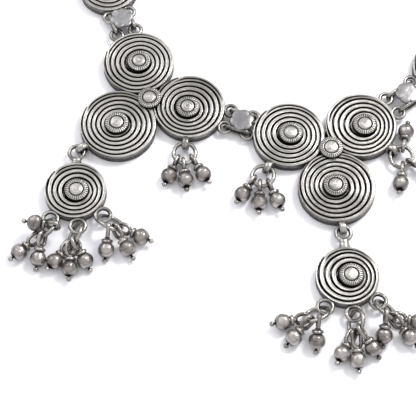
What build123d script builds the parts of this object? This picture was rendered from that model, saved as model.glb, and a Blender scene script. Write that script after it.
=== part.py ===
from build123d import *
import os
from math import asin, atan2, ceil, cos, degrees, pi, radians, sin, sqrt

# Choker of wound-wire discs, lying flat on its back. Millimetres, +Z up, +Y to the back of the neck.
# The origin is the middle of the centre trefoil, on the flat back that it lies on.

# Wound discs
DISC_R = 10.75
FRONT_DISC_R = 11.45
END_DISC_R = 9.1
PENDANT_R = 9.1
DISC_H = 3.3
RIM_BEVEL = 0.3
WIRE_PITCH = 1.48
GROOVE_W = 0.3
GROOVE_D = 0.6
RIM_WIRE = 1.0

# Boss on a disc: a drum with a milled ring round a low dome
BOSS_R = 3.55
BOSS_WALL = 0.95
BOSS_BEVEL = 0.2
RING_IN_R = 2.35
RING_IN_H = 1.4
DOME_R = 2.05
DOME_EDGE_H = 1.15
DOME_H = 1.75
MOAT_H = 0.85
STROKES = 32
STROKE_W = 0.16
STROKE_D = 0.12

# Where the discs lie in a trefoil, and the trefoils round the neck
SIDE_REACH = 12.7
FRONT_REACH = 13.0
SIDE_RISE = 30.0
SOLDER_R = 1.0
NECK_R = 63.5
LEFT_TURN = -53.1
RIGHT_TURN = 56.0
CHAIN_R = 58.0
END_GAP = 9.7

# Clearance between loose pieces
FIT = 0.12

# Flat eyes for the flower links and the chain
EYE_OD = 4.6
EYE_WIRE = 0.95
EYE_SEAT = 0.5
EYE_SPREAD = 3.0
EYE_Z = 1.8

# Thick upright loops that carry the pendants and the bunches on the discs
LOOP_OD = 4.6
LOOP_T = 1.1
LOOP_W = 2.1
LOOP_SEAT = 0.55
LOOP_ROUND = 0.4

# Flat rings soldered on the pendants
HANG_OD = 5.4
HANG_WIRE = 1.0
HANG_SEAT = 0.3
HANG_Z = 2.2
NECK_POST_R = 0.75

# Flower link: a domed six-petal plate on two upright oval loops
OVAL_WIRE = 0.9
OVAL_H = 3.4
PLATE_CORE_R = 2.7
PETAL_AT = 2.45
PETAL_R = 1.3
PETALS = 6
PLATE_T = 0.95
PLATE_DOME_R = 14.0
PLATE_SINK = 0.2

# Jump rings
JUMP_WIRE = 1.0
DISC_RING_OD = 7.6
PENDANT_RING_OD = 8.2

# Bead drops: a drilled bead on a headpin
BEAD_R = 2.35
BEAD_LIE = 0.05
STEM_R = 0.35
TAIL_R = 0.78
COLLAR_R = 1.2
COLLAR_WIRE = 0.85
PIN_NECK_R = 0.85
PIN_WIRE = 0.95
PIN_LOOP_L = 4.0
PIN_LOOP_W = 3.8
LOOP_FOOT = 3.2
RUN = 0.15

# Chain and clasp hook
LINK_L = 7.3
LINK_W = 4.6
LINK_WIRE = 1.1
LINK_ROLL = 45.0
LINK_PLAY = 0.15
HOOK_WIRE = 1.1
HOOK_R = 2.4
HOOK_AT = 4.8
HOOK_SWEEP = 255.0
HOOK_TIP_R = 0.7
HOOK_SLACK = 0.9

# Wound discs: (trefoil or end, place) and where the wire starts, degrees from +X
GROOVE_START = {
    ("left", "west"): 150.0,
    ("left", "east"): 100.0,
    ("left", "front"): 140.0,
    ("centre", "west"): 120.0,
    ("centre", "east"): 160.0,
    ("centre", "front"): 130.0,
    ("right", "west"): 110.0,
    ("right", "east"): 150.0,
    ("right", "front"): 125.0,
    ("end", "left"): 90.0,
    ("end", "right"): 90.0,
}

# Where a pendant's wire starts, degrees off the pendant's axis
PENDANT_START = -135.0

# Bosses off the middle of their disc, as shares of the boss radius: across, away
BOSS_SHIFT = {
    ("left", "west"): (0.05, -0.03),
    ("left", "east"): (-0.17, -0.18),
    ("left", "front"): (-0.10, -0.02),
    ("left", "middle"): (0.03, -0.22),
    ("centre", "west"): (0.16, 0.0),
    ("centre", "east"): (0.28, -0.11),
    ("centre", "front"): (-0.11, 0.05),
    ("centre", "middle"): (0.18, -0.10),
    ("right", "west"): (-0.06, 0.08),
    ("right", "east"): (0.10, -0.05),
    ("right", "front"): (0.04, 0.12),
    ("right", "middle"): (-0.12, -0.06),
    ("end", "left"): (0.0, 0.0),
    ("end", "right"): (0.0, 0.0),
    ("pendant", "left"): (0.10, -0.13),
    ("pendant", "centre"): (0.29, -0.06),
    ("pendant", "right"): (-0.08, 0.05),
}

# Flower links: discs they join and, as shares of the eye's wire, play of the loops in the eyes,
# slide along the link and shift of the plate on its loops
FLOWER_LINKS = {
    "left_front": {"ends": (("left", "east"), ("centre", "west")), "play": 0.7, "slide": 0.4, "shift": 0.6},
    "right_front": {"ends": (("centre", "east"), ("right", "west")), "play": -0.7, "slide": 0.4, "shift": 0.6},
    "left_side": {"ends": (("left", "west"), ("end", "left")), "play": 0.0, "slide": 0.6, "shift": 0.4},
    "right_side": {"ends": (("right", "east"), ("end", "right")), "play": 0.0, "slide": -0.3, "shift": 0.0},
}

# Pendants: host disc, heading of the loop that holds it, heading of the pendant's own axis;
# slip of its top ring in the loop and length of its neck post, as shares of the ring's wire
PENDANTS = {
    "left": {"host": ("left", "front"), "hang": 209.0, "axis": 262.0, "slip": 0.0, "neck": 1.3},
    "centre": {"host": ("centre", "front"), "hang": 267.0, "axis": 264.0, "slip": -0.45, "neck": 2.3},
    "right": {"host": ("right", "front"), "hang": 330.0, "axis": 284.0, "slip": 0.0, "neck": 1.6},
}

# Bottom rings of a pendant, degrees off its axis
HANG_PLACES = {"west": -38.0, "mid": 5.0, "east": 46.0}

# Jump rings on the discs: host disc, heading of their loop, pitch and lean of the ring,
# and its lift over the loop's hole as a share of its wire
DISC_RINGS = {
    "disc_left_east": {"host": ("left", "east"), "at": 256.5, "pitch": -2.0, "lean": 0.0, "lift": 0.15},
    "disc_centre_west": {"host": ("centre", "west"), "at": 231.0, "pitch": -2.0, "lean": 3.0, "lift": 0.15},
    "disc_centre_east": {"host": ("centre", "east"), "at": 309.0, "pitch": -2.0, "lean": 10.0, "lift": 0.4},
    "disc_right_west": {"host": ("right", "west"), "at": 284.0, "pitch": -2.0, "lean": -4.0, "lift": 0.15},
}

# Jump rings on the pendants: heading off the pendant's axis, pitch, lean;
# reach as a share of the ring's radius and lift as a share of its wire
PENDANT_RINGS = {
    ("left", "west"): {"off": -20.0, "pitch": 16.0, "lean": 42.0, "reach": 1.03, "lift": 0.9},
    ("left", "mid"): {"off": -10.0, "pitch": 10.0, "lean": 60.0, "reach": 0.94, "lift": 1.5},
    ("left", "east"): {"off": 40.0, "pitch": 16.0, "lean": -42.0, "reach": 1.03, "lift": 0.9},
    ("centre", "west"): {"off": -48.0, "pitch": 16.0, "lean": 42.0, "reach": 1.03, "lift": 0.9},
    ("centre", "mid"): {"off": 2.0, "pitch": 10.0, "lean": 60.0, "reach": 0.94, "lift": 1.5},
    ("centre", "east"): {"off": 30.0, "pitch": 14.0, "lean": -50.0, "reach": 1.0, "lift": 1.2},
    ("right", "west"): {"off": -38.0, "pitch": 16.0, "lean": 42.0, "reach": 1.03, "lift": 0.9},
    ("right", "mid"): {"off": 6.0, "pitch": 10.0, "lean": -60.0, "reach": 0.94, "lift": 1.5},
    ("right", "east"): {"off": 38.0, "pitch": 16.0, "lean": -42.0, "reach": 1.03, "lift": 0.9},
}

# Bead drops of each jump ring. around: place on the ring, degrees; swing: heading off the ring's;
# tip: bead lifted off the surface, share of its radius; loop: share of PIN_LOOP_L;
# slack: share of the ring's wire
DROPS = {
    "disc_left_east": (
        {"around": -40, "swing": -18.5, "tip": 0.0, "loop": 1.1, "slack": 0.3},
        {"around": 0, "swing": 11.5, "tip": 0.0, "loop": 1.1, "slack": 0.3},
        {"around": 55, "swing": 37.5, "tip": 0.0, "loop": 1.1, "slack": 0.3},
    ),
    "disc_centre_west": (
        {"around": -35, "swing": -3, "tip": 0.0, "loop": 1.1, "slack": 0.4},
        {"around": 15, "swing": 27, "tip": 0.0, "loop": 1.1, "slack": 0.4},
        {"around": 65, "swing": 54, "tip": 0.0, "loop": 1.1, "slack": 0.2},
    ),
    "disc_centre_east": (
        {"around": -45, "swing": -57, "tip": 0.13, "loop": 1.1, "slack": 0.3},
        {"around": 10, "swing": 9, "tip": 0.0, "loop": 1.1, "slack": 0.3},
        {"around": 120, "swing": 120, "tip": 0.0, "loop": 1.1, "slack": 0.3},
    ),
    "disc_right_west": (
        {"around": -60, "swing": -34, "tip": 0.0, "loop": 1.1, "slack": 0.3},
        {"around": -5, "swing": -8, "tip": 0.0, "loop": 1.1, "slack": 0.3},
        {"around": 42, "swing": 24, "tip": 0.0, "loop": 1.1, "slack": 0.3},
    ),
    "pendant_left_west": (
        {"around": -32, "swing": -28, "tip": 0.0, "loop": 1.3, "slack": 0.1},
        {"around": 12, "swing": 8, "tip": 0.0, "loop": 1.3, "slack": 0.3},
        {"around": 90, "swing": -80, "tip": 1.36, "loop": 1.1, "slack": 0.3},
    ),
    "pendant_left_mid": (
        {"around": -45, "swing": -28, "tip": 0.0, "loop": 1.35, "slack": 0.3},
        {"around": -12, "swing": 6, "tip": 0.0, "loop": 1.35, "slack": 0.2},
        {"around": 25, "swing": 40, "tip": 0.05, "loop": 1.25, "slack": 0.3},
    ),
    "pendant_left_east": (
        {"around": -50, "swing": -48, "tip": 0.0, "loop": 1.3, "slack": 0.2},
        {"around": -12, "swing": -8, "tip": 0.0, "loop": 1.3, "slack": 0.3},
        {"around": 35, "swing": 24, "tip": 0.0, "loop": 1.2, "slack": 0.1},
    ),
    "pendant_centre_west": (
        {"around": -40, "swing": -34, "tip": 0.0, "loop": 1.2, "slack": 0.2},
        {"around": 5, "swing": 0, "tip": 0.0, "loop": 1.25, "slack": 0.3},
        {"around": 55, "swing": 40, "tip": 0.09, "loop": 1.2, "slack": 0.3},
    ),
    "pendant_centre_mid": (
        {"around": -45, "swing": -32, "tip": 0.0, "loop": 1.35, "slack": 0.3},
        {"around": -10, "swing": -2, "tip": 0.0, "loop": 1.5, "slack": 0.2},
        {"around": 28, "swing": 34, "tip": 0.05, "loop": 1.3, "slack": 0.3},
    ),
    "pendant_centre_east": (
        {"around": -47, "swing": -38, "tip": 0.2, "loop": 1.2, "slack": 0.3},
        {"around": 2, "swing": 8, "tip": 0.0, "loop": 1.45, "slack": 0.4},
        {"around": 34, "swing": 46, "tip": 0.0, "loop": 1.2, "slack": 0.1},
    ),
    "pendant_right_west": (
        {"around": -35, "swing": -24, "tip": 0.0, "loop": 1.3, "slack": 0.1},
        {"around": 12, "swing": 8, "tip": 0.0, "loop": 1.25, "slack": 0.3},
        {"around": 62, "swing": 38, "tip": 0.07, "loop": 1.25, "slack": 0.4},
    ),
    "pendant_right_mid": (
        {"around": 45, "swing": 28, "tip": 0.0, "loop": 1.35, "slack": 0.3},
        {"around": 10, "swing": -4, "tip": 0.0, "loop": 1.45, "slack": 0.2},
        {"around": -28, "swing": -38, "tip": 0.05, "loop": 1.3, "slack": 0.3},
    ),
    "pendant_right_east": (
        {"around": -60, "swing": -40, "tip": 0.07, "loop": 1.25, "slack": 0.4},
        {"around": -12, "swing": -6, "tip": 0.0, "loop": 1.3, "slack": 0.3},
        {"around": 36, "swing": 26, "tip": 0.0, "loop": 1.25, "slack": 0.1},
    ),
}

# Sizes worked out from those above
EYE_AT = EYE_OD / 2 - EYE_SEAT
LOOP_AT = LOOP_OD / 2 - LOOP_SEAT
HANG_AT = HANG_OD / 2 - HANG_SEAT
HANG_MEAN_R = (HANG_OD - HANG_WIRE) / 2
TAIL_AT = BEAD_R + FIT + TAIL_R
COLLAR_AT = sqrt((BEAD_R + FIT + COLLAR_WIRE / 2) ** 2 - COLLAR_R ** 2)
NECK_END = LOOP_FOOT + PIN_WIRE / 2
UP = Vector(0, 0, 1)
NECK = Vector(0, NECK_R, 0)
TURNS = {"left": LEFT_TURN, "centre": 0.0, "right": RIGHT_TURN}


def polar(reach, heading):
    """Flat vector of a length and a heading in degrees from +X."""
    return Vector(reach * cos(radians(heading)), reach * sin(radians(heading)), 0)


def heading_of(vector):
    """Heading of a flat vector, degrees from +X."""
    return degrees(atan2(vector.Y, vector.X))


def round_neck(point, turn):
    """A point turned about the upright line through the middle of the neck."""
    return NECK + (point - NECK).rotate(Axis.Z, turn)


def joined(pieces):
    """Soldered pieces as one solid."""
    return pieces[0].fuse(*pieces[1:]).solid()


def oval(length, width, wire):
    """Oval of round wire lying flat, long way along X, measured to the middle of its wire."""
    bend = width / 2
    straight = length - width
    end = Rot(0, 0, -90) * revolve(Plane.XZ * Pos(bend, 0) * Circle(wire / 2), Axis.Z, 180)
    bar = Rot(0, 90, 0) * Cylinder(wire / 2, straight)
    return joined([
        Pos(straight / 2, 0, 0) * end,
        Pos(-straight / 2, 0, 0) * Rot(0, 0, 180) * end,
        Pos(0, bend, 0) * bar,
        Pos(0, -bend, 0) * bar,
    ])


# Wound disc and its boss

def wound_disc(radius):
    """Flat coil of wire: a disc with the spiral line between its turns cut in its face."""
    disc = Cylinder(radius, DISC_H, align=(Align.CENTER, Align.CENTER, Align.MIN))
    disc = chamfer(disc.edges().filter_by(GeomType.CIRCLE), RIM_BEVEL)
    section = Rectangle(GROOVE_W, GROOVE_D * 2)
    arcs = []
    reach = radius - RIM_WIRE
    side = 0.0
    while reach > BOSS_R:
        arc = revolve(Plane.XZ * Pos(reach, DISC_H) * section, Axis.Z, 180)
        arcs.append(Location(polar(WIRE_PITCH / 4, side)) * Rot(0, 0, side) * arc)
        reach -= WIRE_PITCH / 2
        side += 180.0
    return disc.cut(joined(arcs)).solid()


def boss(foot):
    """Milled boss whose drum reaches down by foot from the disc's face, at height zero."""
    outline = Polyline(
        (0, -foot),
        (BOSS_R, -foot),
        (BOSS_R, BOSS_WALL),
        (BOSS_R - BOSS_BEVEL, BOSS_WALL + BOSS_BEVEL),
        (RING_IN_R, RING_IN_H),
        (RING_IN_R, MOAT_H),
        (DOME_R, MOAT_H),
        (DOME_R, DOME_EDGE_H),
    )
    dome_sag = DOME_H - DOME_EDGE_H
    dome_sphere_r = (DOME_R ** 2 + dome_sag ** 2) / (2 * dome_sag)
    top = RadiusArc((DOME_R, DOME_EDGE_H), (0, DOME_H), -dome_sphere_r)
    axis = Line((0, DOME_H), (0, -foot))
    drum = revolve(Plane.XZ * make_face([outline, top, axis]), Axis.Z)
    band = BOSS_R - RING_IN_R
    slope = degrees(atan2(RING_IN_H - BOSS_WALL - BOSS_BEVEL, band - BOSS_BEVEL))
    middle = Pos((BOSS_R + RING_IN_R) / 2, 0, (RING_IN_H + BOSS_WALL + BOSS_BEVEL) / 2)
    stroke = middle * Rot(0, slope, 0) * Box(band, STROKE_W, STROKE_D * 2)
    strokes = [Rot(0, 0, 360 * i / STROKES) * stroke for i in range(STROKES)]
    return drum.cut(*strokes).solid()


DISCS = {r: wound_disc(r) for r in {DISC_R, FRONT_DISC_R, END_DISC_R, PENDANT_R}}
TOP_BOSS = boss(GROOVE_D + RIM_BEVEL)
DEEP_BOSS = boss(DISC_H)


def disc_with_boss(centre, radius, start, shift):
    """A wound disc in its place with its boss; start turns the coil, shift moves the boss."""
    offset = Vector(shift[0], shift[1], 0) * BOSS_R
    return [
        Location(centre) * Rot(0, 0, start) * DISCS[radius],
        Location(centre + offset + UP * DISC_H) * TOP_BOSS,
    ]


# Soldered loops and eyes

def flat_eye(centre):
    """Flat eye of round wire at the height of the flower links."""
    return Location(centre + UP * EYE_Z) * Torus((EYE_OD - EYE_WIRE) / 2, EYE_WIRE / 2)


def link_eyes(centre, radius, heading):
    """Pair of eyes side by side on a disc's rim, facing a flower link."""
    reach = radius + EYE_AT
    spread = degrees(asin(EYE_SPREAD / reach))
    return [flat_eye(centre + polar(reach, heading + side * spread)) for side in (-1, 1)]


def eye_reach(radius):
    """How far in front of a disc's middle its pair of eyes is."""
    return sqrt((radius + EYE_AT) ** 2 - EYE_SPREAD ** 2)


def thick_loop(centre, radius, heading):
    """Upright strap loop on a disc's rim, standing on the surface, its hole across the heading."""
    outer = Cylinder(LOOP_OD / 2, LOOP_W)
    loop = outer - Cylinder(LOOP_OD / 2 - LOOP_T, LOOP_W)
    loop = fillet(loop.edges().filter_by(GeomType.CIRCLE), LOOP_ROUND)
    middle = centre + polar(radius + LOOP_AT, heading) + UP * LOOP_OD / 2
    return Location(middle) * Rot(0, 0, heading) * Rot(90, 0, 0) * loop


def hang_ring(centre):
    """Flat ring of a pendant."""
    return Location(centre + UP * HANG_Z) * Torus(HANG_MEAN_R, HANG_WIRE / 2)


# Places of the discs

disc_at = {}
disc_radius = {}
for unit, turn in TURNS.items():
    for place, reach, angle, radius in (
        ("west", SIDE_REACH, 180 - SIDE_RISE, DISC_R),
        ("east", SIDE_REACH, SIDE_RISE, DISC_R),
        ("front", FRONT_REACH, 270, FRONT_DISC_R),
    ):
        disc_at[unit, place] = round_neck(polar(reach, angle), turn)
        disc_radius[unit, place] = radius

# An end disc lies on the chain's circle, END_GAP from the trefoil beside it
for unit, host, sense in (("left", ("left", "west"), -1), ("right", ("right", "east"), 1)):
    arm = disc_at[host] - NECK
    step = DISC_R + END_GAP + END_DISC_R
    cosine = (arm.length ** 2 + CHAIN_R ** 2 - step ** 2) / (2 * arm.length * CHAIN_R)
    swing = degrees(pi / 2 - asin(cosine))
    disc_at["end", unit] = NECK + polar(CHAIN_R, heading_of(arm) + sense * swing)
    disc_radius["end", unit] = END_DISC_R

# Each disc's soldered fittings are gathered here before it is joined
fittings = {key: [] for key in disc_at}


# Flower links

def flower_plate():
    """Six-petal plate, flat below and a little domed above."""
    petals = [Location(polar(PETAL_AT, 360 * i / PETALS)) * Circle(PETAL_R) for i in range(PETALS)]
    plate = extrude(Circle(PLATE_CORE_R) + petals, PLATE_T)
    return plate & Pos(0, 0, PLATE_T - PLATE_DOME_R) * Sphere(PLATE_DOME_R)


def flower_link(spec):
    """Plate on two oval loops, between the eyes of two discs."""
    near, far = spec["ends"]
    start = disc_at[near]
    end = disc_at[far]
    line = end - start
    course = heading_of(line)
    first = eye_reach(disc_radius[near])
    last = line.length - eye_reach(disc_radius[far])
    fittings[near] += link_eyes(start, disc_radius[near], course)
    fittings[far] += link_eyes(end, disc_radius[far], course + 180)
    length = last - first + spec["play"] * EYE_WIRE
    middle = (first + last) / 2 + spec["slide"] * EYE_WIRE
    loop = Rot(90, 0, 0) * oval(length, OVAL_H - OVAL_WIRE, OVAL_WIRE)
    pieces = [Pos(middle, side * EYE_SPREAD, EYE_Z) * loop for side in (-1, 1)]
    seat = Pos(middle + spec["shift"] * EYE_WIRE, 0, EYE_Z + OVAL_H / 2 - PLATE_SINK)
    pieces.append(seat * Rot(0, 0, 180 / PETALS) * flower_plate())
    return Location(start) * Rot(0, 0, course) * joined(pieces)


# Pendants

def pendant(name, spec):
    """Wound disc with a boss, a top ring on a neck post and three bottom rings."""
    host = disc_at[spec["host"]]
    radius = disc_radius[spec["host"]]
    fittings[spec["host"]].append(thick_loop(host, radius, spec["hang"]))
    hole = host + polar(radius + LOOP_AT, spec["hang"])
    top = hole + polar(spec["slip"] * HANG_WIRE + HANG_MEAN_R, spec["hang"])
    rim = HANG_AT + spec["neck"] * HANG_WIRE
    centre = top + polar(rim + PENDANT_R, spec["axis"])
    post_l = rim - HANG_MEAN_R + RIM_BEVEL
    post_at = Location(top + polar(HANG_MEAN_R + post_l / 2, spec["axis"]) + UP * HANG_Z)
    post = post_at * Rot(0, 0, spec["axis"]) * Rot(0, 90, 0) * Cylinder(NECK_POST_R, post_l)
    pieces = disc_with_boss(centre, PENDANT_R, spec["axis"] + PENDANT_START, BOSS_SHIFT["pendant", name])
    pieces += [hang_ring(top), post]
    for place, off in HANG_PLACES.items():
        middle = centre + polar(PENDANT_R + HANG_AT, spec["axis"] + off)
        pieces.append(hang_ring(middle))
        lie = PENDANT_RINGS[name, place]
        course = spec["axis"] + lie["off"]
        mean_r = (PENDANT_RING_OD - JUMP_WIRE) / 2
        hub = middle + polar(lie["reach"] * mean_r, course) + UP * (HANG_Z + lie["lift"] * JUMP_WIRE)
        rings[f"pendant_{name}_{place}"] = JumpRing(hub, mean_r, course, lie["pitch"], lie["lean"])
    return joined(pieces)


# Jump rings and bead drops

class JumpRing:
    """A ring as it lies: its middle, radius of its wire's middle line, and its tilted plane."""

    def __init__(self, centre, mean_r, course, pitch, lean):
        ahead = polar(cos(radians(pitch)), course) + UP * sin(radians(pitch))
        across = UP.cross(ahead).normalized()
        above = ahead.cross(across)
        self.centre = centre
        self.mean_r = mean_r
        self.course = course
        self.ahead = ahead
        self.side = across * cos(radians(lean)) + above * sin(radians(lean))
        self.normal = ahead.cross(self.side)

    def solid(self):
        plane = Plane(origin=self.centre, x_dir=self.ahead, z_dir=self.normal)
        return plane.location * Torus(self.mean_r, JUMP_WIRE / 2)

    def wire_at(self, around):
        """Point on the wire's middle line and the wire's direction there."""
        c = cos(radians(around))
        s = sin(radians(around))
        point = self.centre + (self.ahead * c + self.side * s) * self.mean_r
        return point, self.side * c - self.ahead * s


def headpin(loop):
    """Pin along +Z with the bead's middle at the origin: loop, neck, collar, stem and tail ball."""
    stem_l = TAIL_AT + BEAD_R + FIT * 2
    neck_l = NECK_END - BEAD_R - FIT
    eye = oval(loop - PIN_WIRE, PIN_LOOP_W - PIN_WIRE, PIN_WIRE)
    return joined([
        Pos(0, 0, TAIL_AT) * Sphere(TAIL_R),
        Pos(0, 0, TAIL_AT - stem_l / 2) * Cylinder(STEM_R, stem_l),
        Pos(0, 0, -(BEAD_R + FIT + neck_l / 2)) * Cylinder(PIN_NECK_R, neck_l),
        Pos(0, 0, -COLLAR_AT) * Torus(COLLAR_R, COLLAR_WIRE / 2),
        Pos(0, 0, -(LOOP_FOOT + loop / 2)) * Rot(0, -90, 0) * eye,
    ])


PINS = {}
BEAD = (Sphere(BEAD_R) - Cylinder(STEM_R + FIT, BEAD_R * 3)).solid()


def drop(ring, spec):
    """Pin and bead of one drop, laid down from its place on the ring."""
    loop = spec["loop"] * PIN_LOOP_L
    point, wire = ring.wire_at(spec["around"])
    length = LOOP_FOOT + loop - PIN_WIRE - JUMP_WIRE / 2 - RUN - spec["slack"] * JUMP_WIRE
    bead_z = BEAD_R * (1 + spec["tip"]) + BEAD_LIE
    rise = (bead_z - point.Z) / length
    course = ring.course + spec["swing"]
    axis = polar(sqrt(1 - rise ** 2), course) + UP * rise
    facing = (wire - axis * wire.dot(axis)).normalized()
    place = Plane(origin=point + axis * length, x_dir=facing, z_dir=axis).location
    if loop not in PINS:
        PINS[loop] = headpin(loop)
    return place * PINS[loop], place * BEAD


# Chain and hook

def hook_wire():
    """Flat S of round wire, its two lobes side by side along X."""
    slant = asin(HOOK_R / HOOK_AT)
    run = 2 * sqrt(HOOK_AT ** 2 - HOOK_R ** 2)
    bar = Rot(0, 0, degrees(slant)) * Rot(0, 90, 0) * Cylinder(HOOK_WIRE / 2, run)
    section = Circle(HOOK_WIRE / 2)
    arc = revolve(Plane.XZ * Pos(HOOK_R, 0) * section, Axis.Z, HOOK_SWEEP)
    tip = Location(polar(HOOK_R, 0)) * Sphere(HOOK_TIP_R)
    lobe = [arc, tip]
    first = 90 + degrees(slant) - HOOK_SWEEP
    pieces = [bar]
    for flip in (0, 180):
        place = Rot(0, 0, flip) * Pos(HOOK_AT, 0, 0) * Rot(0, 0, first)
        pieces += [place * piece for piece in lobe]
    return joined(pieces)


def chain(unit, sense):
    """Oval links from the end disc's eye round the back of the neck to the hook."""
    centre = disc_at["end", unit]
    half_step = degrees(asin((END_DISC_R + EYE_AT) / 2 / CHAIN_R))
    start = heading_of(centre - NECK) + sense * 2 * half_step
    eye = NECK + polar(CHAIN_R, start)
    fittings["end", unit].append(flat_eye(eye))
    bar_to_bar = LINK_L - LINK_WIRE
    hooked = HOOK_AT + HOOK_R - (HOOK_WIRE + LINK_WIRE) / 2 - HOOK_SLACK
    stop = 90 - sense * degrees(hooked / CHAIN_R)
    span = radians(sense * (stop - start) % 360) * CHAIN_R - bar_to_bar
    gaps = ceil(span / (bar_to_bar - LINK_WIRE - LINK_PLAY))
    link = oval(bar_to_bar, LINK_W - LINK_WIRE, LINK_WIRE)
    links = []
    for i in range(gaps + 1):
        angle = start + sense * degrees((bar_to_bar / 2 + span * i / gaps) / CHAIN_R)
        roll = LINK_ROLL if i % 2 else -LINK_ROLL
        middle = NECK + polar(CHAIN_R, angle) + UP * EYE_Z
        links.append(Location(middle) * Rot(0, 0, angle + 90) * Rot(roll, 0, 0) * link)
    return links


# Assembly

nodes = {}
rings = {}

for name, spec in FLOWER_LINKS.items():
    nodes[f"flower_link_{name}"] = flower_link(spec)

for name, spec in PENDANTS.items():
    nodes[f"pendant_{name}"] = pendant(name, spec)

for name, spec in DISC_RINGS.items():
    host = disc_at[spec["host"]]
    radius = disc_radius[spec["host"]]
    fittings[spec["host"]].append(thick_loop(host, radius, spec["at"]))
    mean_r = (DISC_RING_OD - JUMP_WIRE) / 2
    hole = host + polar(radius + LOOP_AT, spec["at"]) + UP * (LOOP_OD / 2 + spec["lift"] * JUMP_WIRE)
    hub = hole + polar(mean_r * cos(radians(spec["pitch"])), spec["at"])
    hub += UP * mean_r * sin(radians(spec["pitch"]))
    rings[name] = JumpRing(hub, mean_r, spec["at"], spec["pitch"], spec["lean"])

for unit, sense in (("left", -1), ("right", 1)):
    nodes[f"chain_{unit}"] = chain(unit, sense)

for unit in TURNS:
    pieces = []
    places = [key for key in disc_at if key[0] == unit]
    for key in places:
        pieces += disc_with_boss(disc_at[key], disc_radius[key], GROOVE_START[key], BOSS_SHIFT[key])
        pieces += fittings[key]
    for one, other in ((0, 1), (1, 2), (2, 0)):
        line = disc_at[places[other]] - disc_at[places[one]]
        radii = disc_radius[places[one]] - disc_radius[places[other]]
        touch = disc_at[places[one]] + line.normalized() * (line.length + radii) / 2
        pieces.append(Location(touch + UP * DISC_H / 2) * Cylinder(SOLDER_R, DISC_H / 2))
    middle = round_neck(Vector(0, 0, 0), TURNS[unit])
    shift = BOSS_SHIFT[unit, "middle"]
    pieces.append(Location(middle + Vector(shift[0], shift[1], 0) * BOSS_R + UP * DISC_H) * DEEP_BOSS)
    nodes[f"trefoil_{unit}"] = joined(pieces)

for unit in ("left", "right"):
    key = ("end", unit)
    pieces = disc_with_boss(disc_at[key], END_DISC_R, GROOVE_START[key], BOSS_SHIFT[key])
    nodes[f"end_disc_{unit}"] = joined(pieces + fittings[key])

for name, ring in rings.items():
    pairs = [drop(ring, spec) for spec in DROPS[name]]
    nodes[f"ring_{name}"] = ring.solid()
    nodes[f"pins_{name}"] = [pin for pin, bead in pairs]
    nodes[f"beads_{name}"] = [bead for pin, bead in pairs]

nodes["clasp_hook"] = Location(NECK + UP * EYE_Z + polar(CHAIN_R, 90)) * hook_wire()

os.makedirs("parts", exist_ok=True)
for name, shape in nodes.items():
    if isinstance(shape, list):
        shape = Compound(children=shape)
    export_step(shape, f"parts/{name}.step")
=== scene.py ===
"""Oxidised silver choker lying on a pale surface.

The frame gives the pieces at their real size and place. This script winds, turns, solders and
tarnishes the metal that shows in their stead, then sets the floor, the light and the camera.
Shapes are made in millimetres and turned to metres as each piece is finished.
"""

import logging
import random
from collections import defaultdict
from collections.abc import Iterable, Sequence
from dataclasses import dataclass, field
from enum import Enum
from math import asin, atan2, ceil, cos, degrees, hypot, pi, radians, sin, sqrt

import bmesh
import bpy
from mathutils import Matrix, Vector, noise

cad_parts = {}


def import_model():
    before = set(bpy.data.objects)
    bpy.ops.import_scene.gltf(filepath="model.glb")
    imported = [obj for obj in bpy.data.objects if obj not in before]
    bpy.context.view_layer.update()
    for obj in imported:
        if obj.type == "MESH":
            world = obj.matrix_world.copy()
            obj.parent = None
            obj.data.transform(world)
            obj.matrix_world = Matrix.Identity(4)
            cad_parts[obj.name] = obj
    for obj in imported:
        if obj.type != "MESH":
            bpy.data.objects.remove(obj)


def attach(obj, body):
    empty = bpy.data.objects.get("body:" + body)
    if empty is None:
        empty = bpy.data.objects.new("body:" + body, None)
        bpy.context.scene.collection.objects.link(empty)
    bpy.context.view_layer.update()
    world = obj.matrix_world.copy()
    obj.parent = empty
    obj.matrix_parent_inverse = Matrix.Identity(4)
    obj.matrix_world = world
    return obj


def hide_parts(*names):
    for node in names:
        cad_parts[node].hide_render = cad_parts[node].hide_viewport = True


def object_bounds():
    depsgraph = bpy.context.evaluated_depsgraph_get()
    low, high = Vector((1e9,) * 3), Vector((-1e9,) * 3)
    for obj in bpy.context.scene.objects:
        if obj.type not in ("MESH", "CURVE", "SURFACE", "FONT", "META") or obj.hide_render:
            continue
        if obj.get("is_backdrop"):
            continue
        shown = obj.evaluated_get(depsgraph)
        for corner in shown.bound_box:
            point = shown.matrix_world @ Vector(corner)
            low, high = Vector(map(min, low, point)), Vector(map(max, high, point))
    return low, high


LOG = logging.getLogger("choker")
MM = 0.001
UP = Vector((0.0, 0.0, 1.0))
NOISE_SEED = 7

SectionPoint = tuple[float, float, float]
Size = tuple[float, float, float]
Colour = tuple[float, float, float, float]


class Slot(Enum):
    """Material slots."""

    WOUND = "wound_silver"
    PETAL = "petal_silver"
    RING = "ring_silver"
    PIN = "pin_silver"
    BEAD = "bead_silver"
    CHAIN = "chain_silver"


class Place(Enum):
    """Places of the discs in a trefoil."""

    WEST = "west"
    EAST = "east"
    FRONT = "front"


class Seed(Enum):
    """What the small unevenness of each kind of piece starts from."""

    TREFOIL = 100
    PENDANT = 200
    LINK = 300
    BUNCH = 400
    END = 600
    CHAIN = 650
    CLASP = 700

    def of(self, number: int = 0) -> int:
        """The seed of one piece of its kind."""
        return self.value + number * 10


def polar(reach: float, heading: float) -> Vector:
    """Flat vector of a length and a heading in degrees from +X."""
    return Vector((reach * cos(radians(heading)), reach * sin(radians(heading)), 0.0))


def heading_of(vector: Vector) -> float:
    """Heading of a flat vector, in degrees from +X."""
    return degrees(atan2(vector.y, vector.x))


def spin_z(turn: float) -> Matrix:
    """Rotation about the upright axis, in degrees."""
    return Matrix.Rotation(radians(turn), 4, "Z")


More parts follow.
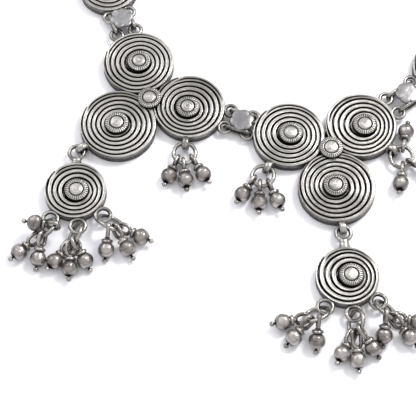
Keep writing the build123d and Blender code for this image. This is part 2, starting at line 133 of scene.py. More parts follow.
def tilt(turn: float, axis: str) -> Matrix:
    """Rotation about a flat axis, X or Y, in degrees."""
    return Matrix.Rotation(radians(turn), 4, axis)


def eased(value: float, power: float) -> float:
    """A value raised to a power, with its sign kept."""
    return abs(value) ** power * (1 if value > 0 else -1)


def direction(heading: float, elevation: float) -> Vector:
    """Unit vector of a heading and an elevation, in degrees."""
    return polar(cos(radians(elevation)), heading) + UP * sin(radians(elevation))


def at(point: Vector, turn: float = 0.0) -> Matrix:
    """A place on the surface, turned about the upright axis.

    Args:
        point: Where the piece's own origin goes.
        turn: Its turn in degrees.

    Returns:
        The matrix that puts it there.
    """
    return Matrix.Translation(point) @ spin_z(turn)


def frame_at(origin: Vector, ahead: Vector, normal: Vector) -> Matrix:
    """A tilted place given by two directions.

    Args:
        origin: Where the piece's own origin goes.
        ahead: Where its own +X points.
        normal: Where its own +Z points.

    Returns:
        The matrix that puts it there.
    """
    side = normal.cross(ahead)
    return Matrix.Translation(origin) @ Matrix((ahead, side, normal)).transposed().to_4x4()


# Sizes shared by the pieces, in millimetres, the same as the frame's


@dataclass(frozen=True)
class Gauge:
    """Wires, rings and clearances that more than one piece uses.

    The frame leaves running gaps, and the soft worn wire fills them: fuller is what its radius gains.
    """

    disc_h: float = 3.3
    fit: float = 0.12
    eye_od: float = 4.6
    eye_wire: float = 0.95
    eye_seat: float = 0.5
    eye_spread: float = 3.0
    eye_z: float = 1.8
    loop_od: float = 4.6
    loop_t: float = 1.1
    loop_w: float = 2.1
    loop_seat: float = 0.55
    hang_od: float = 5.4
    hang_wire: float = 1.0
    hang_seat: float = 0.3
    hang_z: float = 2.2
    jump_wire: float = 1.0
    neck_r: float = 63.5
    chain_r: float = 58.0
    fuller: float = 0.1

    @property
    def eye_at(self) -> float:
        """From a disc's rim to the middle of a flat eye."""
        return self.eye_od / 2 - self.eye_seat

    @property
    def loop_at(self) -> float:
        """From a disc's rim to the hole of a thick loop."""
        return self.loop_od / 2 - self.loop_seat

    @property
    def hang_at(self) -> float:
        """From a pendant's rim to the middle of a flat ring."""
        return self.hang_od / 2 - self.hang_seat

    @property
    def hang_mean_r(self) -> float:
        """Radius of a flat ring's wire, to its middle."""
        return (self.hang_od - self.hang_wire) / 2

    @property
    def neck(self) -> Vector:
        """Middle of the neck."""
        return Vector((0.0, self.neck_r, 0.0))


GAUGE = Gauge()


# Finishes


class Wiring:
    """A hand that lays nodes in a tree and joins them."""

    def __init__(self, tree: bpy.types.NodeTree) -> None:
        """Takes the tree to work in."""
        self.tree = tree

    def node(self, kind: str, settings: dict | None = None, **inputs: object) -> bpy.types.Node:
        """Lays one node.

        Args:
            kind: The node's type, such as ShaderNodeMath.
            settings: The node's own properties.
            **inputs: Values or sockets by input name, underscores for spaces.

        Returns:
            The node.
        """
        made = self.tree.nodes.new(kind)
        for key, value in (settings or {}).items():
            setattr(made, key, value)
        for key, value in inputs.items():
            self.feed(made.inputs[key.replace("_", " ")], value)
        return made

    def feed(self, socket: bpy.types.NodeSocket, value: object) -> None:
        """Joins a socket to another, or sets its value.

        Args:
            socket: The socket going in.
            value: The socket that it is joined to, or its value.
        """
        if isinstance(value, bpy.types.NodeSocket):
            self.tree.links.new(value, socket)
        else:
            socket.default_value = value

    def math(self, operation: str, first: object, second: object = 0.0) -> bpy.types.NodeSocket:
        """A sum of two values.

        Args:
            operation: The Math node's operation.
            first: A value or socket.
            second: A value or socket.

        Returns:
            The result's socket.
        """
        made = self.tree.nodes.new("ShaderNodeMath")
        made.operation = operation
        self.feed(made.inputs[0], first)
        self.feed(made.inputs[1], second)
        return made.outputs[0]

    def spread(
        self, value: object, low: float, high: float, out_low: float = 0.0, out_high: float = 1.0
    ) -> bpy.types.NodeSocket:
        """A value eased from one range to another.

        Args:
            value: A value or socket.
            low: Where the rise starts.
            high: Where it ends.
            out_low: The result below low.
            out_high: The result above high.

        Returns:
            The result's socket.
        """
        made = self.node(
            "ShaderNodeMapRange", {"interpolation_type": "SMOOTHSTEP"}, Value=value,
            From_Min=low, From_Max=high, To_Min=out_low, To_Max=out_high,
        )
        return made.outputs["Result"]

    def noise(
        self, vector: object, scale: object, detail: float = 3.0, roughness: float = 0.5
    ) -> bpy.types.NodeSocket:
        """Cloudy noise.

        Args:
            vector: Where it is read.
            scale: Its fineness, per metre.
            detail: Its octaves.
            roughness: How strong the finer octaves are.

        Returns:
            The noise's socket, from 0 to 1.
        """
        made = self.node(
            "ShaderNodeTexNoise", Vector=vector, Scale=scale, Detail=detail, Roughness=roughness
        )
        return made.outputs["Fac"]

    def blend(self, share: object, first: object, second: object) -> bpy.types.NodeSocket:
        """A mix of two colours.

        Args:
            share: How much of the second, from 0 to 1.
            first: A colour or socket.
            second: A colour or socket.

        Returns:
            The mixed colour's socket.
        """
        made = self.node("ShaderNodeMix", {"data_type": "RGBA"})
        self.feed(made.inputs[0], share)
        self.feed(made.inputs[6], first)
        self.feed(made.inputs[7], second)
        return made.outputs[2]

    def effect(
        self, group: bpy.types.NodeTree, coords: bpy.types.NodeSocket, **inputs: object
    ) -> bpy.types.Node:
        """Places a shared effect.

        Args:
            group: The effect's node group.
            coords: Where it is read.
            **inputs: Its other values or sockets by name.

        Returns:
            The group's node.
        """
        return self.node("ShaderNodeGroup", {"node_tree": group}, Coords=coords, **inputs)


def new_group(
    name: str, inputs: Sequence[tuple[str, str]], outputs: Sequence[tuple[str, str]]
) -> bpy.types.NodeTree:
    """An empty shader node group with its sockets.

    Args:
        name: The group's name.
        inputs: Names and socket types going in.
        outputs: Names and socket types coming out.

    Returns:
        The group's tree.
    """
    tree = bpy.data.node_groups.new(name, "ShaderNodeTree")
    for label, kind in inputs:
        tree.interface.new_socket(name=label, in_out="INPUT", socket_type=kind)
    for label, kind in outputs:
        tree.interface.new_socket(name=label, in_out="OUTPUT", socket_type=kind)
    return tree


FLOAT = "NodeSocketFloat"
COORDS = "NodeSocketVector"


class Effects:
    """Shared effects: each is a node group that is built once."""

    FINE_SHARE = 0.6
    WIDE_SHARE = 0.4
    WIDE_SCALE = 0.22
    OXIDE_FROM = 0.18
    OXIDE_TO = 0.85
    LINE_DRIFT = 60.0
    STREAK_SCALE = 0.45
    GRIT_SCALE = 4.0
    GRIT_SHARE = 0.3
    SCRATCH_TURNS = ((0.5, 0.06), (2.1, 0.1))
    SCRATCH_RISE = 0.3

    def __init__(self) -> None:
        """Builds every group."""
        self.tarnish_and_shade = self._tarnish_and_shade()
        self.hairlines = self._hairlines()
        self.dents = self._dents()
        self.scratches = self._scratches()

    @staticmethod
    def _tarnish_and_shade() -> bpy.types.NodeTree:
        """Black oxide, and in places painted shade, laid where the mesh's darkening attribute says and
        broken up by noise.

        Returns:
            The group's tree.
        """
        tree = new_group(
            "tarnish_and_painted_shade",
            [("Coords", COORDS), ("Patina", FLOAT), ("Breakup", FLOAT), ("Scale", FLOAT)],
            [("Mask", FLOAT), ("Cloud", FLOAT)],
        )
        lay = Wiring(tree)
        entry = lay.node("NodeGroupInput")
        leave = lay.node("NodeGroupOutput")
        fine = lay.noise(entry.outputs["Coords"], entry.outputs["Scale"], detail=4.0, roughness=0.6)
        wide = lay.math("MULTIPLY", entry.outputs["Scale"], Effects.WIDE_SCALE)
        cloud = lay.noise(entry.outputs["Coords"], wide, detail=2.0)
        fine_part = lay.math("MULTIPLY", fine, Effects.FINE_SHARE)
        wide_part = lay.math("MULTIPLY", cloud, Effects.WIDE_SHARE)
        both = lay.math("ADD", fine_part, wide_part)
        swing = lay.math("MULTIPLY", lay.math("SUBTRACT", both, 0.5), entry.outputs["Breakup"])
        oxide = lay.math("ADD", swing, entry.outputs["Patina"])
        mask = lay.spread(oxide, Effects.OXIDE_FROM, Effects.OXIDE_TO)
        lay.feed(leave.inputs["Mask"], mask)
        lay.feed(leave.inputs["Cloud"], cloud)
        return tree

    @staticmethod
    def _hairlines() -> bpy.types.NodeTree:
        """Drawn lines that run along a wire, read across it.

        Returns:
            The group's tree.
        """
        tree = new_group(
            "drawn_hairlines",
            [("Coords", COORDS), ("Across", FLOAT), ("Density", FLOAT)],
            [("Height", FLOAT), ("Streak", FLOAT)],
        )
        lay = Wiring(tree)
        entry = lay.node("NodeGroupInput")
        leave = lay.node("NodeGroupOutput")
        slow = lay.node(
            "ShaderNodeVectorMath", {"operation": "SCALE"}, Vector=entry.outputs["Coords"],
            Scale=Effects.LINE_DRIFT,
        )
        apart = lay.node("ShaderNodeSeparateXYZ", Vector=slow.outputs["Vector"])
        lines = lay.math("MULTIPLY", entry.outputs["Across"], entry.outputs["Density"])
        joined = lay.node("ShaderNodeCombineXYZ", X=lines, Y=apart.outputs["X"], Z=apart.outputs["Y"])
        height = lay.noise(joined.outputs["Vector"], 1.0, roughness=0.7)
        coarse = lay.noise(joined.outputs["Vector"], Effects.STREAK_SCALE, detail=1.0)
        lay.feed(leave.inputs["Height"], height)
        lay.feed(leave.inputs["Streak"], lay.spread(coarse, 0.3, 0.7))
        return tree

    @staticmethod
    def _dents() -> bpy.types.NodeTree:
        """Soft dents of a hammer, with a little grit.

        Returns:
            The group's tree.
        """
        tree = new_group("hammer_dents", [("Coords", COORDS), ("Scale", FLOAT)], [("Height", FLOAT)])
        lay = Wiring(tree)
        entry = lay.node("NodeGroupInput")
        leave = lay.node("NodeGroupOutput")
        cells = lay.node(
            "ShaderNodeTexVoronoi", {"feature": "SMOOTH_F1"}, Vector=entry.outputs["Coords"],
            Scale=entry.outputs["Scale"], Smoothness=0.8,
        )
        finer = lay.math("MULTIPLY", entry.outputs["Scale"], Effects.GRIT_SCALE)
        grit = lay.noise(entry.outputs["Coords"], finer, detail=2.0)
        total = lay.math("ADD", cells.outputs["Distance"], lay.math("MULTIPLY", grit, Effects.GRIT_SHARE))
        lay.feed(leave.inputs["Height"], total)
        return tree

    @staticmethod
    def _scratches() -> bpy.types.NodeTree:
        """Fine crossing scratches of wear, in two directions.

        Returns:
            The group's tree.
        """
        tree = new_group(
            "wear_scratches", [("Coords", COORDS), ("Scale", FLOAT)], [("Height", FLOAT), ("Mask", FLOAT)]
        )
        lay = Wiring(tree)
        entry = lay.node("NodeGroupInput")
        leave = lay.node("NodeGroupOutput")
        masks = []
        for turn, stretch in Effects.SCRATCH_TURNS:
            turned = lay.node(
                "ShaderNodeVectorRotate", {"rotation_type": "Z_AXIS"}, Vector=entry.outputs["Coords"],
                Angle=turn,
            )
            thin = lay.node(
                "ShaderNodeVectorMath", {"operation": "MULTIPLY"}, Vector=turned.outputs["Vector"]
            )
            thin.inputs[1].default_value = (stretch, 1.0, Effects.SCRATCH_RISE)
            marks = lay.noise(thin.outputs["Vector"], entry.outputs["Scale"], detail=2.0)
            masks.append(lay.spread(marks, 0.56, 0.7))
        mask = lay.math("MAXIMUM", masks[0], masks[1])
        lay.feed(leave.inputs["Mask"], mask)
        lay.feed(leave.inputs["Height"], lay.math("SUBTRACT", 1.0, mask))
        return tree


@dataclass(frozen=True)
class SilverFinish:
    """A finish of the silver, from bright worn metal to black oxide."""

    slot: Slot
    bright: Colour
    shade: Colour
    # The near-black of oxide, which also paints shade where the darkening attribute asks for it
    oxide: Colour = (0.018, 0.016, 0.016, 1.0)
    rough_bright: float = 0.3
    rough_oxide: float = 0.55
    breakup: float = 0.5
    breakup_scale: float = 1400.0
    line_density: float = 9.0
    line_depth: float = 0.2
    streaks: float = 0.2
    dent_scale: float = 500.0
    dent_depth: float = 0.1
    scratch_scale: float = 2600.0
    scratch_depth: float = 0.15
    scratch_rough: float = 0.12
    dent_reach: float = 0.0004
    line_reach: float = 0.0001
    scratch_reach: float = 0.00004

    def material(self, effects: Effects) -> bpy.types.Material:
        """The finish as a material.

        Args:
            effects: The shared node groups.

        Returns:
            The material, with the Principled shader in it.
        """
        made = bpy.data.materials.new(self.slot.value)
        made.use_nodes = True
        made.node_tree.nodes.clear()
        lay = Wiring(made.node_tree)
        coords = lay.node("ShaderNodeTexCoord").outputs["Object"]
        patina_and_shade = lay.node("ShaderNodeAttribute", {"attribute_name": "patina_and_shade"}).outputs["Fac"]
        across = lay.node("ShaderNodeAttribute", {"attribute_name": "across"}).outputs["Fac"]

        # Darkening mask: oxide in hollows, and painted shade on the lower half of each bead and round
        # each boss's foot
        tarnish_and_shade = lay.effect(
            effects.tarnish_and_shade, coords, Patina=patina_and_shade, Breakup=self.breakup, Scale=self.breakup_scale
        )
        lines = lay.effect(effects.hairlines, coords, Across=across, Density=self.line_density)
        dents = lay.effect(effects.dents, coords, Scale=self.dent_scale)
        wear = lay.effect(effects.scratches, coords, Scale=self.scratch_scale)

        streaks = lay.math("MULTIPLY", lines.outputs["Streak"], self.streaks)
        clouds = lay.math("MULTIPLY", tarnish_and_shade.outputs["Cloud"], 1.0 - self.streaks)
        mottle = lay.spread(lay.math("ADD", streaks, clouds), 0.25, 0.8)
        metal = lay.blend(mottle, self.bright, self.shade)
        colour = lay.blend(tarnish_and_shade.outputs["Mask"], metal, self.oxide)

        scuffed = self.rough_bright + self.scratch_rough
        worn = lay.spread(wear.outputs["Mask"], 0.0, 1.0, self.rough_bright, scuffed)
        gap = lay.math("SUBTRACT", self.rough_oxide, worn)
        rough = lay.math("ADD", worn, lay.math("MULTIPLY", gap, tarnish_and_shade.outputs["Mask"]))

        normal = None
        for height, depth, distance in (
            (dents.outputs["Height"], self.dent_depth, self.dent_reach),
            (lines.outputs["Height"], self.line_depth, self.line_reach),
            (wear.outputs["Height"], self.scratch_depth, self.scratch_reach),
        ):
            bump = lay.node("ShaderNodeBump", Height=height, Strength=depth, Distance=distance)
            if normal is not None:
                lay.feed(bump.inputs["Normal"], normal)
            normal = bump.outputs["Normal"]

        shader = lay.node(
            "ShaderNodeBsdfPrincipled", Base_Color=colour, Roughness=rough, Metallic=1.0, Normal=normal
        )
        lay.node("ShaderNodeOutputMaterial", Surface=shader.outputs["BSDF"])
        return made


FINISHES = (
    SilverFinish(
        Slot.WOUND, bright=(0.455, 0.44, 0.42, 1.0), shade=(0.21, 0.20, 0.19, 1.0),
        line_depth=0.5, streaks=0.6, dent_depth=0.08, breakup=0.6,
    ),
    SilverFinish(
        Slot.PETAL, bright=(0.285, 0.277, 0.28, 1.0), shade=(0.165, 0.16, 0.165, 1.0),
        rough_bright=0.36, line_depth=0.0, streaks=0.0, dent_depth=0.24, breakup=0.6,
    ),
    SilverFinish(
        Slot.RING, bright=(0.46, 0.443, 0.42, 1.0), shade=(0.135, 0.127, 0.12, 1.0),
        rough_bright=0.26, line_depth=0.1, dent_scale=900.0, dent_depth=0.25, breakup=0.9,
    ),
    SilverFinish(
        Slot.PIN, bright=(0.46, 0.432, 0.41, 1.0), shade=(0.12, 0.11, 0.105, 1.0),
        rough_bright=0.26, line_depth=0.1, dent_scale=900.0, dent_depth=0.25, breakup=1.0,
    ),
    SilverFinish(
        Slot.BEAD, bright=(0.455, 0.422, 0.404, 1.0), shade=(0.115, 0.103, 0.10, 1.0),
        rough_bright=0.29, line_depth=0.0, streaks=0.0, dent_scale=620.0, dent_depth=0.5,
        breakup=1.35, breakup_scale=800.0,
    ),
    SilverFinish(
        Slot.CHAIN, bright=(0.42, 0.405, 0.375, 1.0), shade=(0.20, 0.19, 0.175, 1.0),
        line_depth=0.1, dent_scale=800.0, dent_depth=0.15, breakup=0.7,
    ),
)


# Shaping


def edges_of(geom: Iterable) -> list[bmesh.types.BMEdge]:
    """The edges among what an operator gives back."""
    return [item for item in geom if isinstance(item, bmesh.types.BMEdge)]


def verts_of(geom: Iterable) -> list[bmesh.types.BMVert]:
    """The vertices among what an operator gives back."""
    return [item for item in geom if isinstance(item, bmesh.types.BMVert)]


class Casting:
    """A piece while it is made: a mesh in millimetres that knows its grain, and its darkness from oxide
    and in places painted light and shade.
    """

    SEEDS = 1 << 20
    POLE_R = 1e-4
    POLE_WELD = 1e-3
    CREASE = 42.0

    def __init__(self, seed: int) -> None:
        """Starts an empty piece.

        Args:
            seed: What its small unevenness starts from.
        """
        self.mesh = bmesh.new()
        # How dark each point is: oxide, and in places painted light and shade
        self.patina_and_shade = self.mesh.verts.layers.float.new("patina_and_shade")
        self.across = self.mesh.verts.layers.float.new("across")
        self.random = random.Random(seed)

    def shape(self) -> "Casting":
        """Starts a shape that is joined to this piece when it is done."""
        return Casting(self.random.randrange(self.SEEDS))

    def join(self, shape: "Casting", place: Matrix | None = None) -> None:
        """Takes a finished shape in.

        Args:
            shape: The shape, which is used up.
            place: Where it goes.
        """
        if place is not None:
            shape.move(place)
        data = bpy.data.meshes.new("joined")
        shape.mesh.to_mesh(data)
        shape.mesh.free()
        self.mesh.from_mesh(data)
        bpy.data.meshes.remove(data)

    def section(
        self, points: Sequence[SectionPoint], closed: bool, centre: Vector | None = None
    ) -> list:
        """Draws a section in the XZ plane, to be spun or extruded.

        Args:
            points: Reach along X, height and darkness of each point: oxide, and in places painted light
                and shade.
            closed: Whether the last point joins the first.
            centre: What the points are measured from.

        Returns:
            Its vertices and edges.
        """
        start = centre or Vector((0.0, 0.0, 0.0))
        verts = []
        travelled = 0.0
        for reach, height, patina_and_shade in points:
            vert = self.mesh.verts.new(start + Vector((reach, 0.0, height)))
            if verts:
                travelled += (vert.co - verts[-1].co).length
            vert[self.patina_and_shade] = patina_and_shade
            vert[self.across] = travelled
            verts.append(vert)
        pairs = list(zip(verts, verts[1:]))
        if closed:
            pairs.append((verts[-1], verts[0]))
        return verts + [self.mesh.edges.new(pair) for pair in pairs]

    def spin(
        self, geom: Iterable, turn: float, steps: int, centre: Vector | None = None, merge: bool = False
    ) -> list:
        """Spins a section about an upright line.

        Args:
            geom: The section's vertices and edges.
            turn: The angle in degrees.
            steps: How many steps it takes.
            centre: A point on the line.
            merge: Whether the end meets the start.

        Returns:
            The section at the end of the spin.
        """
        result = bmesh.ops.spin(
            self.mesh, geom=list(geom), cent=centre or Vector((0.0, 0.0, 0.0)), axis=UP,
            dvec=(0.0, 0.0, 0.0), angle=radians(turn), steps=steps, use_merge=merge,
            use_normal_flip=False, use_duplicate=False,
        )
        return result["geom_last"]

    def lathe(self, points: Sequence[SectionPoint], steps: int, closed: bool = False) -> None:
        """Turns this whole shape from its section.

        Args:
            points: Reach, height and darkness of the section's points: oxide, and in places painted light
                and shade.
            steps: How many sides it has.
            closed: Whether the section is a closed loop.
        """
        self.spin(self.section(points, closed), 360.0, steps, merge=True)
        poles = [v for v in self.mesh.verts if hypot(v.co.x, v.co.y) < self.POLE_R]
        if poles:
            bmesh.ops.remove_doubles(self.mesh, verts=poles, dist=self.POLE_WELD)

    def ball(self, centre: Vector, radius: float) -> None:
        """Adds a round ball.

        Args:
            centre: Its middle.
            radius: Its radius.
        """
        bmesh.ops.create_uvsphere(
            self.mesh, u_segments=20, v_segments=12, radius=radius, matrix=Matrix.Translation(centre)
        )

    def cap(self, geom: Iterable) -> None:
        """Closes an open end of a wire with one face."""
        bmesh.ops.contextual_create(self.mesh, geom=edges_of(geom))

    def draw_out(self, geom: Iterable, way: Vector) -> list:
        """Draws an open end out in a straight run.

        Args:
            geom: The end, with its edges.
            way: Where to, and how far.

        Returns:
            The new end's vertices and edges.
        """
        run = bmesh.ops.extrude_edge_only(self.mesh, edges=edges_of(geom))["geom"]
        verts = verts_of(run)
        bmesh.ops.translate(self.mesh, vec=way, verts=verts)
        return verts + [e for e in edges_of(run) if all(v in verts for v in e.verts)]

    def move(self, matrix: Matrix) -> None:
        """Puts the shape in its place."""
        bmesh.ops.transform(self.mesh, matrix=matrix, verts=self.mesh.verts)

    def wobble(self, amount: float, size: float) -> None:
        """Makes the shape a little uneven, as made by hand.

        Args:
            amount: The furthest move, in millimetres.
            size: The width of the swells, in millimetres.
        """
        start = Vector([self.random.uniform(-50.0, 50.0) for _ in range(3)])
        for vert in self.mesh.verts:
            vert.co += noise.noise_vector(vert.co / size + start) * amount

    def sharpen(self) -> None:
        """Shades the piece smooth, apart from its sharp edges."""
        crease = radians(self.CREASE)
        for face in self.mesh.faces:
            face.smooth = True
        for edge in self.mesh.edges:
            edge.smooth = edge.calc_face_angle(0.0) < crease

    def finish(self, name: str, slot: Slot, nodes: Sequence[str], shop: "Workshop") -> None:
        """Turns the piece to metres and puts it in the scene in place of its nodes.

        Args:
            name: The piece's name.
            slot: Its finish.
            nodes: The frame's nodes that it stands for.
            shop: Where the materials are, and the box that the piece stays in.
        """
        low, high = shop.box
        for vert in self.mesh.verts:
            vert.co = Vector(map(min, high, map(max, low, vert.co)))
        bmesh.ops.recalc_face_normals(self.mesh, faces=self.mesh.faces)
        self.sharpen()
        self.move(Matrix.Scale(MM, 4))
        data = bpy.data.meshes.new(name)
        self.mesh.to_mesh(data)
        self.mesh.free()
        data.materials.append(shop.materials[slot])
        piece = bpy.data.objects.new(name, data)
        bpy.context.scene.collection.objects.link(piece)
        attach(piece, "root")
        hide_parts(*nodes)
        shop.report(piece)


def round_wire(
    centre: float, wire: float, sides: int, inner: float = 0.75, outer: float = 0.1
) -> list[SectionPoint]:
    """Section of a round wire.

    Args:
        centre: Reach of its middle.
        wire: Its diameter.
        sides: How many sides it has.
        inner: Oxide on the side towards the spin's middle.
        outer: Oxide on the far side.

    Returns:
        The section's points.
    """
    points = []
    radius = wire / 2 + GAUGE.fuller
    for i in range(sides):
        angle = 2 * pi * i / sides
        side = (1 - cos(angle)) / 2
        patina_and_shade = outer + (inner - outer) * side ** 2
        points.append((centre + radius * cos(angle), radius * sin(angle), patina_and_shade))
    return points


@dataclass
class Workshop:
    """Holds the frame's box and the materials, and counts what is made."""

    box: tuple[Vector, Vector]
    materials: dict[Slot, bpy.types.Material] = field(default_factory=dict)
    triangles: int = 0

    def prepare(self) -> None:
        """Mixes every finish."""
        effects = Effects()
        for finish in FINISHES:
            self.materials[finish.slot] = finish.material(effects)

    def report(self, piece: bpy.types.Object) -> None:
        """Logs a finished piece with its triangles.

        Args:
            piece: The piece.
        """
        piece.data.calc_loop_triangles()
        count = len(piece.data.loop_triangles)
        self.triangles += count
        LOG.info("%s: %d triangles", piece.name, count)


# Shapes of the discs and their fittings


@dataclass(frozen=True)
class WireCoil:
    """The flat-wound wire of a disc.

    The outer end starts thin, and the first turn widens from it to keep the rim round. Where it is
    wide a seam runs along its face. Under its own start it is filled with solder.
    """

    radius: float
    boss_at: Vector
    pitch: float = 1.48
    gap: float = 0.4
    thin: float = 0.3
    core: float = 2.9
    notch: float = 10.0
    fill: float = 28.0
    steps: int = 36
    # Darkening of the coil round the boss's foot: oxide, and partly painted shade
    foot_oxide_and_shade: float = 1.3
    foot_fade: float = 2.2
    seam_from: float = 1.2
    seam_rise: float = 4.0
    seam_w: float = 0.12
    seam_depth: float = 0.3
    seam_dark: float = 1.3
    wall_from: float = 0.7
    wall_fade: float = 4.5

    @property
    def width(self) -> float:
        """The wire's width."""
        return self.pitch - self.gap

    def points(self) -> list[SectionPoint]:
        """Section of the strip, upright, its middle at no reach.

        Returns:
            The section's points, up the outer side and down the inner one.
        """
        half = self.width / 2
        top = GAUGE.disc_h
        return [
            (half - 0.12, 0.0, 0.8),
            (half, 0.15, 0.75),
            (half, 1.55, 0.6),
            (half - 0.16, 1.7, 1.0),
            (half, 1.85, 0.5),
            (half, top - 0.4, 0.55),
            (half - 0.03, top - 0.2, 0.5),
            # The top is bright at both edges and dulled in its middle: rubbed-edge wear, and partly a
            # painted highlight along each edge
            (half - 0.1, top - 0.06, 0.1),
            (half - 0.2, top, 0.0),
            (half - 0.34, top - 0.02, 0.22),
            (0.0, top - 0.07, 0.34),
            (0.34 - half, top - 0.02, 0.22),
            (0.2 - half, top, 0.0),
            (0.1 - half, top - 0.06, 0.2),
            (0.03 - half, top - 0.2, 0.9),
            (-half, top - 0.4, 1.0),
            (-half, 0.15, 1.0),
            (0.12 - half, 0.0, 0.8),
        ]

    def build(self, work: Casting, place: Matrix) -> None:
        """Winds the wire inwards by half turns about two middles in turn.

        Args:
            work: The piece that it joins.
            place: Where the disc goes.
        """
        reach = self.radius - self.width * self.thin + self.width / 2
        shape = work.shape()
        geom = shape.section(self.points(), True, Vector((reach, 0.0, 0.0)))
        shape.cap(geom)
        reach -= self.pitch / 4
        side = 0.0
        done = set()
        half_turns = []
        while reach > self.core:
            middle = polar(self.pitch / 4, side)
            geom = shape.spin(geom, 180.0, self.steps, middle)
            half_turns.append(([v for v in shape.mesh.verts if v not in done], middle, side))
            done = set(shape.mesh.verts)
            reach -= self.pitch / 2
            side += 180.0
        for verts, middle, side in half_turns:
            self._fit_rim(shape, verts, middle, side)
        shape.cap(geom)
        self._drift(shape)
        shape.wobble(amount=0.07, size=2.6)
        work.join(shape, place)

    def _drift(self, shape: Casting) -> None:
        """Draws the inner turns towards the boss, and darkens them at its foot with oxide and painted
        shade.

        Args:
            shape: The coil.
        """
        rim_to_boss = self.radius - BOSS.radius
        for vert in shape.mesh.verts:
            reach = hypot(vert.co.x, vert.co.y)
            vert.co += self.boss_at * min(1.0, (self.radius - reach) / rim_to_boss)
            # Oxide and painted shade on the coil where it meets the boss's foot
            near = (Vector((vert.co.x, vert.co.y, 0.0)) - self.boss_at).length - BOSS.radius
            dark = min(1.0, self.foot_oxide_and_shade - near * self.foot_fade)
            vert[shape.patina_and_shade] = max(vert[shape.patina_and_shade], dark)

    def _outer(self, along: float, outer: float) -> float:
        """Where the wire's outer side goes: round the rim, then in under its own start.

        Args:
            along: How far the wire is wound, in degrees.
            outer: Reach of its outer side as it is wound.

        Returns:
            The reach to draw it to.
        """
        under = self.radius - self.width * self.thin
        if along <= 360.0 - self.notch:
            return self.radius
        if along <= 360.0:
            return under + self.width * self.thin * (360.0 - along) / self.notch
        if along <= 360.0 + self.fill:
            return under + (outer - under) * (along - 360.0) / self.fill
        return outer

    def _fit_rim(self, shape: Casting, verts: list, middle: Vector, side: float) -> None:
        """Fits the first turn to the round rim, and blackens the inner turns' outer sides.

        Args:
            shape: The coil.
            verts: The half turn's vertices.
            middle: What the half turn is wound about.
            side: The winding's angle at its start, in degrees.
        """
        width = self.width
        sections = defaultdict(list)
        for vert in verts:
            arm = vert.co - middle
            angle = (degrees(atan2(arm.y, arm.x)) - side + 90.0) % 360.0 - 90.0
            sections[round(angle * self.steps / 180.0)].append(vert)
        for step, section in sections.items():
            inner = min(hypot(v.co.x, v.co.y) for v in section)
            share = (self._outer(side + step * 180.0 / self.steps, inner + width) - inner) / width
            seam = min(1.0, max(0.0, share - self.seam_from) * self.seam_rise)
            for vert in section:
                reach = hypot(vert.co.x, vert.co.y)
                on_face = vert.co.z > GAUGE.disc_h / 2
                if seam > 0.0 and on_face and abs(reach - inner - width / 2) < self.seam_w:
                    vert.co.z -= self.seam_depth * seam
                    vert[shape.patina_and_shade] = max(vert[shape.patina_and_shade], self.seam_dark * seam)
                if share != 1.0:
                    new = inner + (reach - inner) * share
                    vert.co.x *= new / reach
                    vert.co.y *= new / reach
                if side >= 360.0 and reach > inner + width * self.wall_from:
                    depth = GAUGE.disc_h - vert.co.z
                    dark = min(1.0, depth * self.wall_fade)
                    vert[shape.patina_and_shade] = max(vert[shape.patina_and_shade], dark)


@dataclass(frozen=True)
class Boss:
    """A drum with a milled ring round a low dome."""

    radius: float = 3.55
    strokes: int = 30
    sides: int = 4
    depth: float = 0.14
    ring_in: float = 1.3
    ring_out: float = 0.14
    ring_z: float = 1.0
    stroke_dark: float = 1.2

    def build(self, work: Casting, place: Matrix, foot: float) -> None:
        """Turns the boss and mills its ring.

        Args:
            work: The piece that it joins.
            place: Where its foot goes, on the disc's face.
            foot: How far the drum reaches down below the face.
        """
        r = self.radius
        shape = work.shape()
        shape.lathe(
            [
                # The drum's side and foot are dark: oxide, and partly painted shade where the drum stands
                # above the coil
                (0.0, -foot, 1.0),
                (r, -foot, 1.0),
                (r, 0.6, 1.0),
                (r, 0.88, 0.95),
                (r - 0.05, 1.0, 0.5),
                (r - 0.16, 1.1, 0.05),
                (r - 0.3, 1.15, 0.0),
                (r - 0.38, 1.18, 0.0),
                (r - 0.7, 1.24, 0.0),
                (r - 1.16, 1.34, 0.0),
                (r - 1.26, 1.32, 0.3),
                (r - 1.33, 1.18, 0.9),
                (r - 1.44, 1.12, 1.0),
                (r - 1.52, 1.2, 0.9),
                (r - 1.58, 1.34, 0.3),
                (r - 1.7, 1.45, 0.0),
                (r - 1.9, 1.52, 0.04),
                (r - 2.4, 1.6, 0.12),
                (r - 3.0, 1.64, 0.16),
                (0.0, 1.65, 0.16),
            ],
            steps=self.strokes * self.sides,
        )
        for vert in shape.mesh.verts:
            reach = hypot(vert.co.x, vert.co.y)
            if r - self.ring_in < reach < r - self.ring_out and vert.co.z > self.ring_z:
                share = degrees(atan2(vert.co.y, vert.co.x)) * self.strokes / 360.0
                if round(share * self.sides) % self.sides == 0:
                    vert.co.z -= self.depth
                    vert[shape.patina_and_shade] = self.stroke_dark
        shape.wobble(amount=0.06, size=1.6)
        work.join(shape, place @ spin_z(work.random.uniform(0.0, 360.0)))


BOSS = Boss()


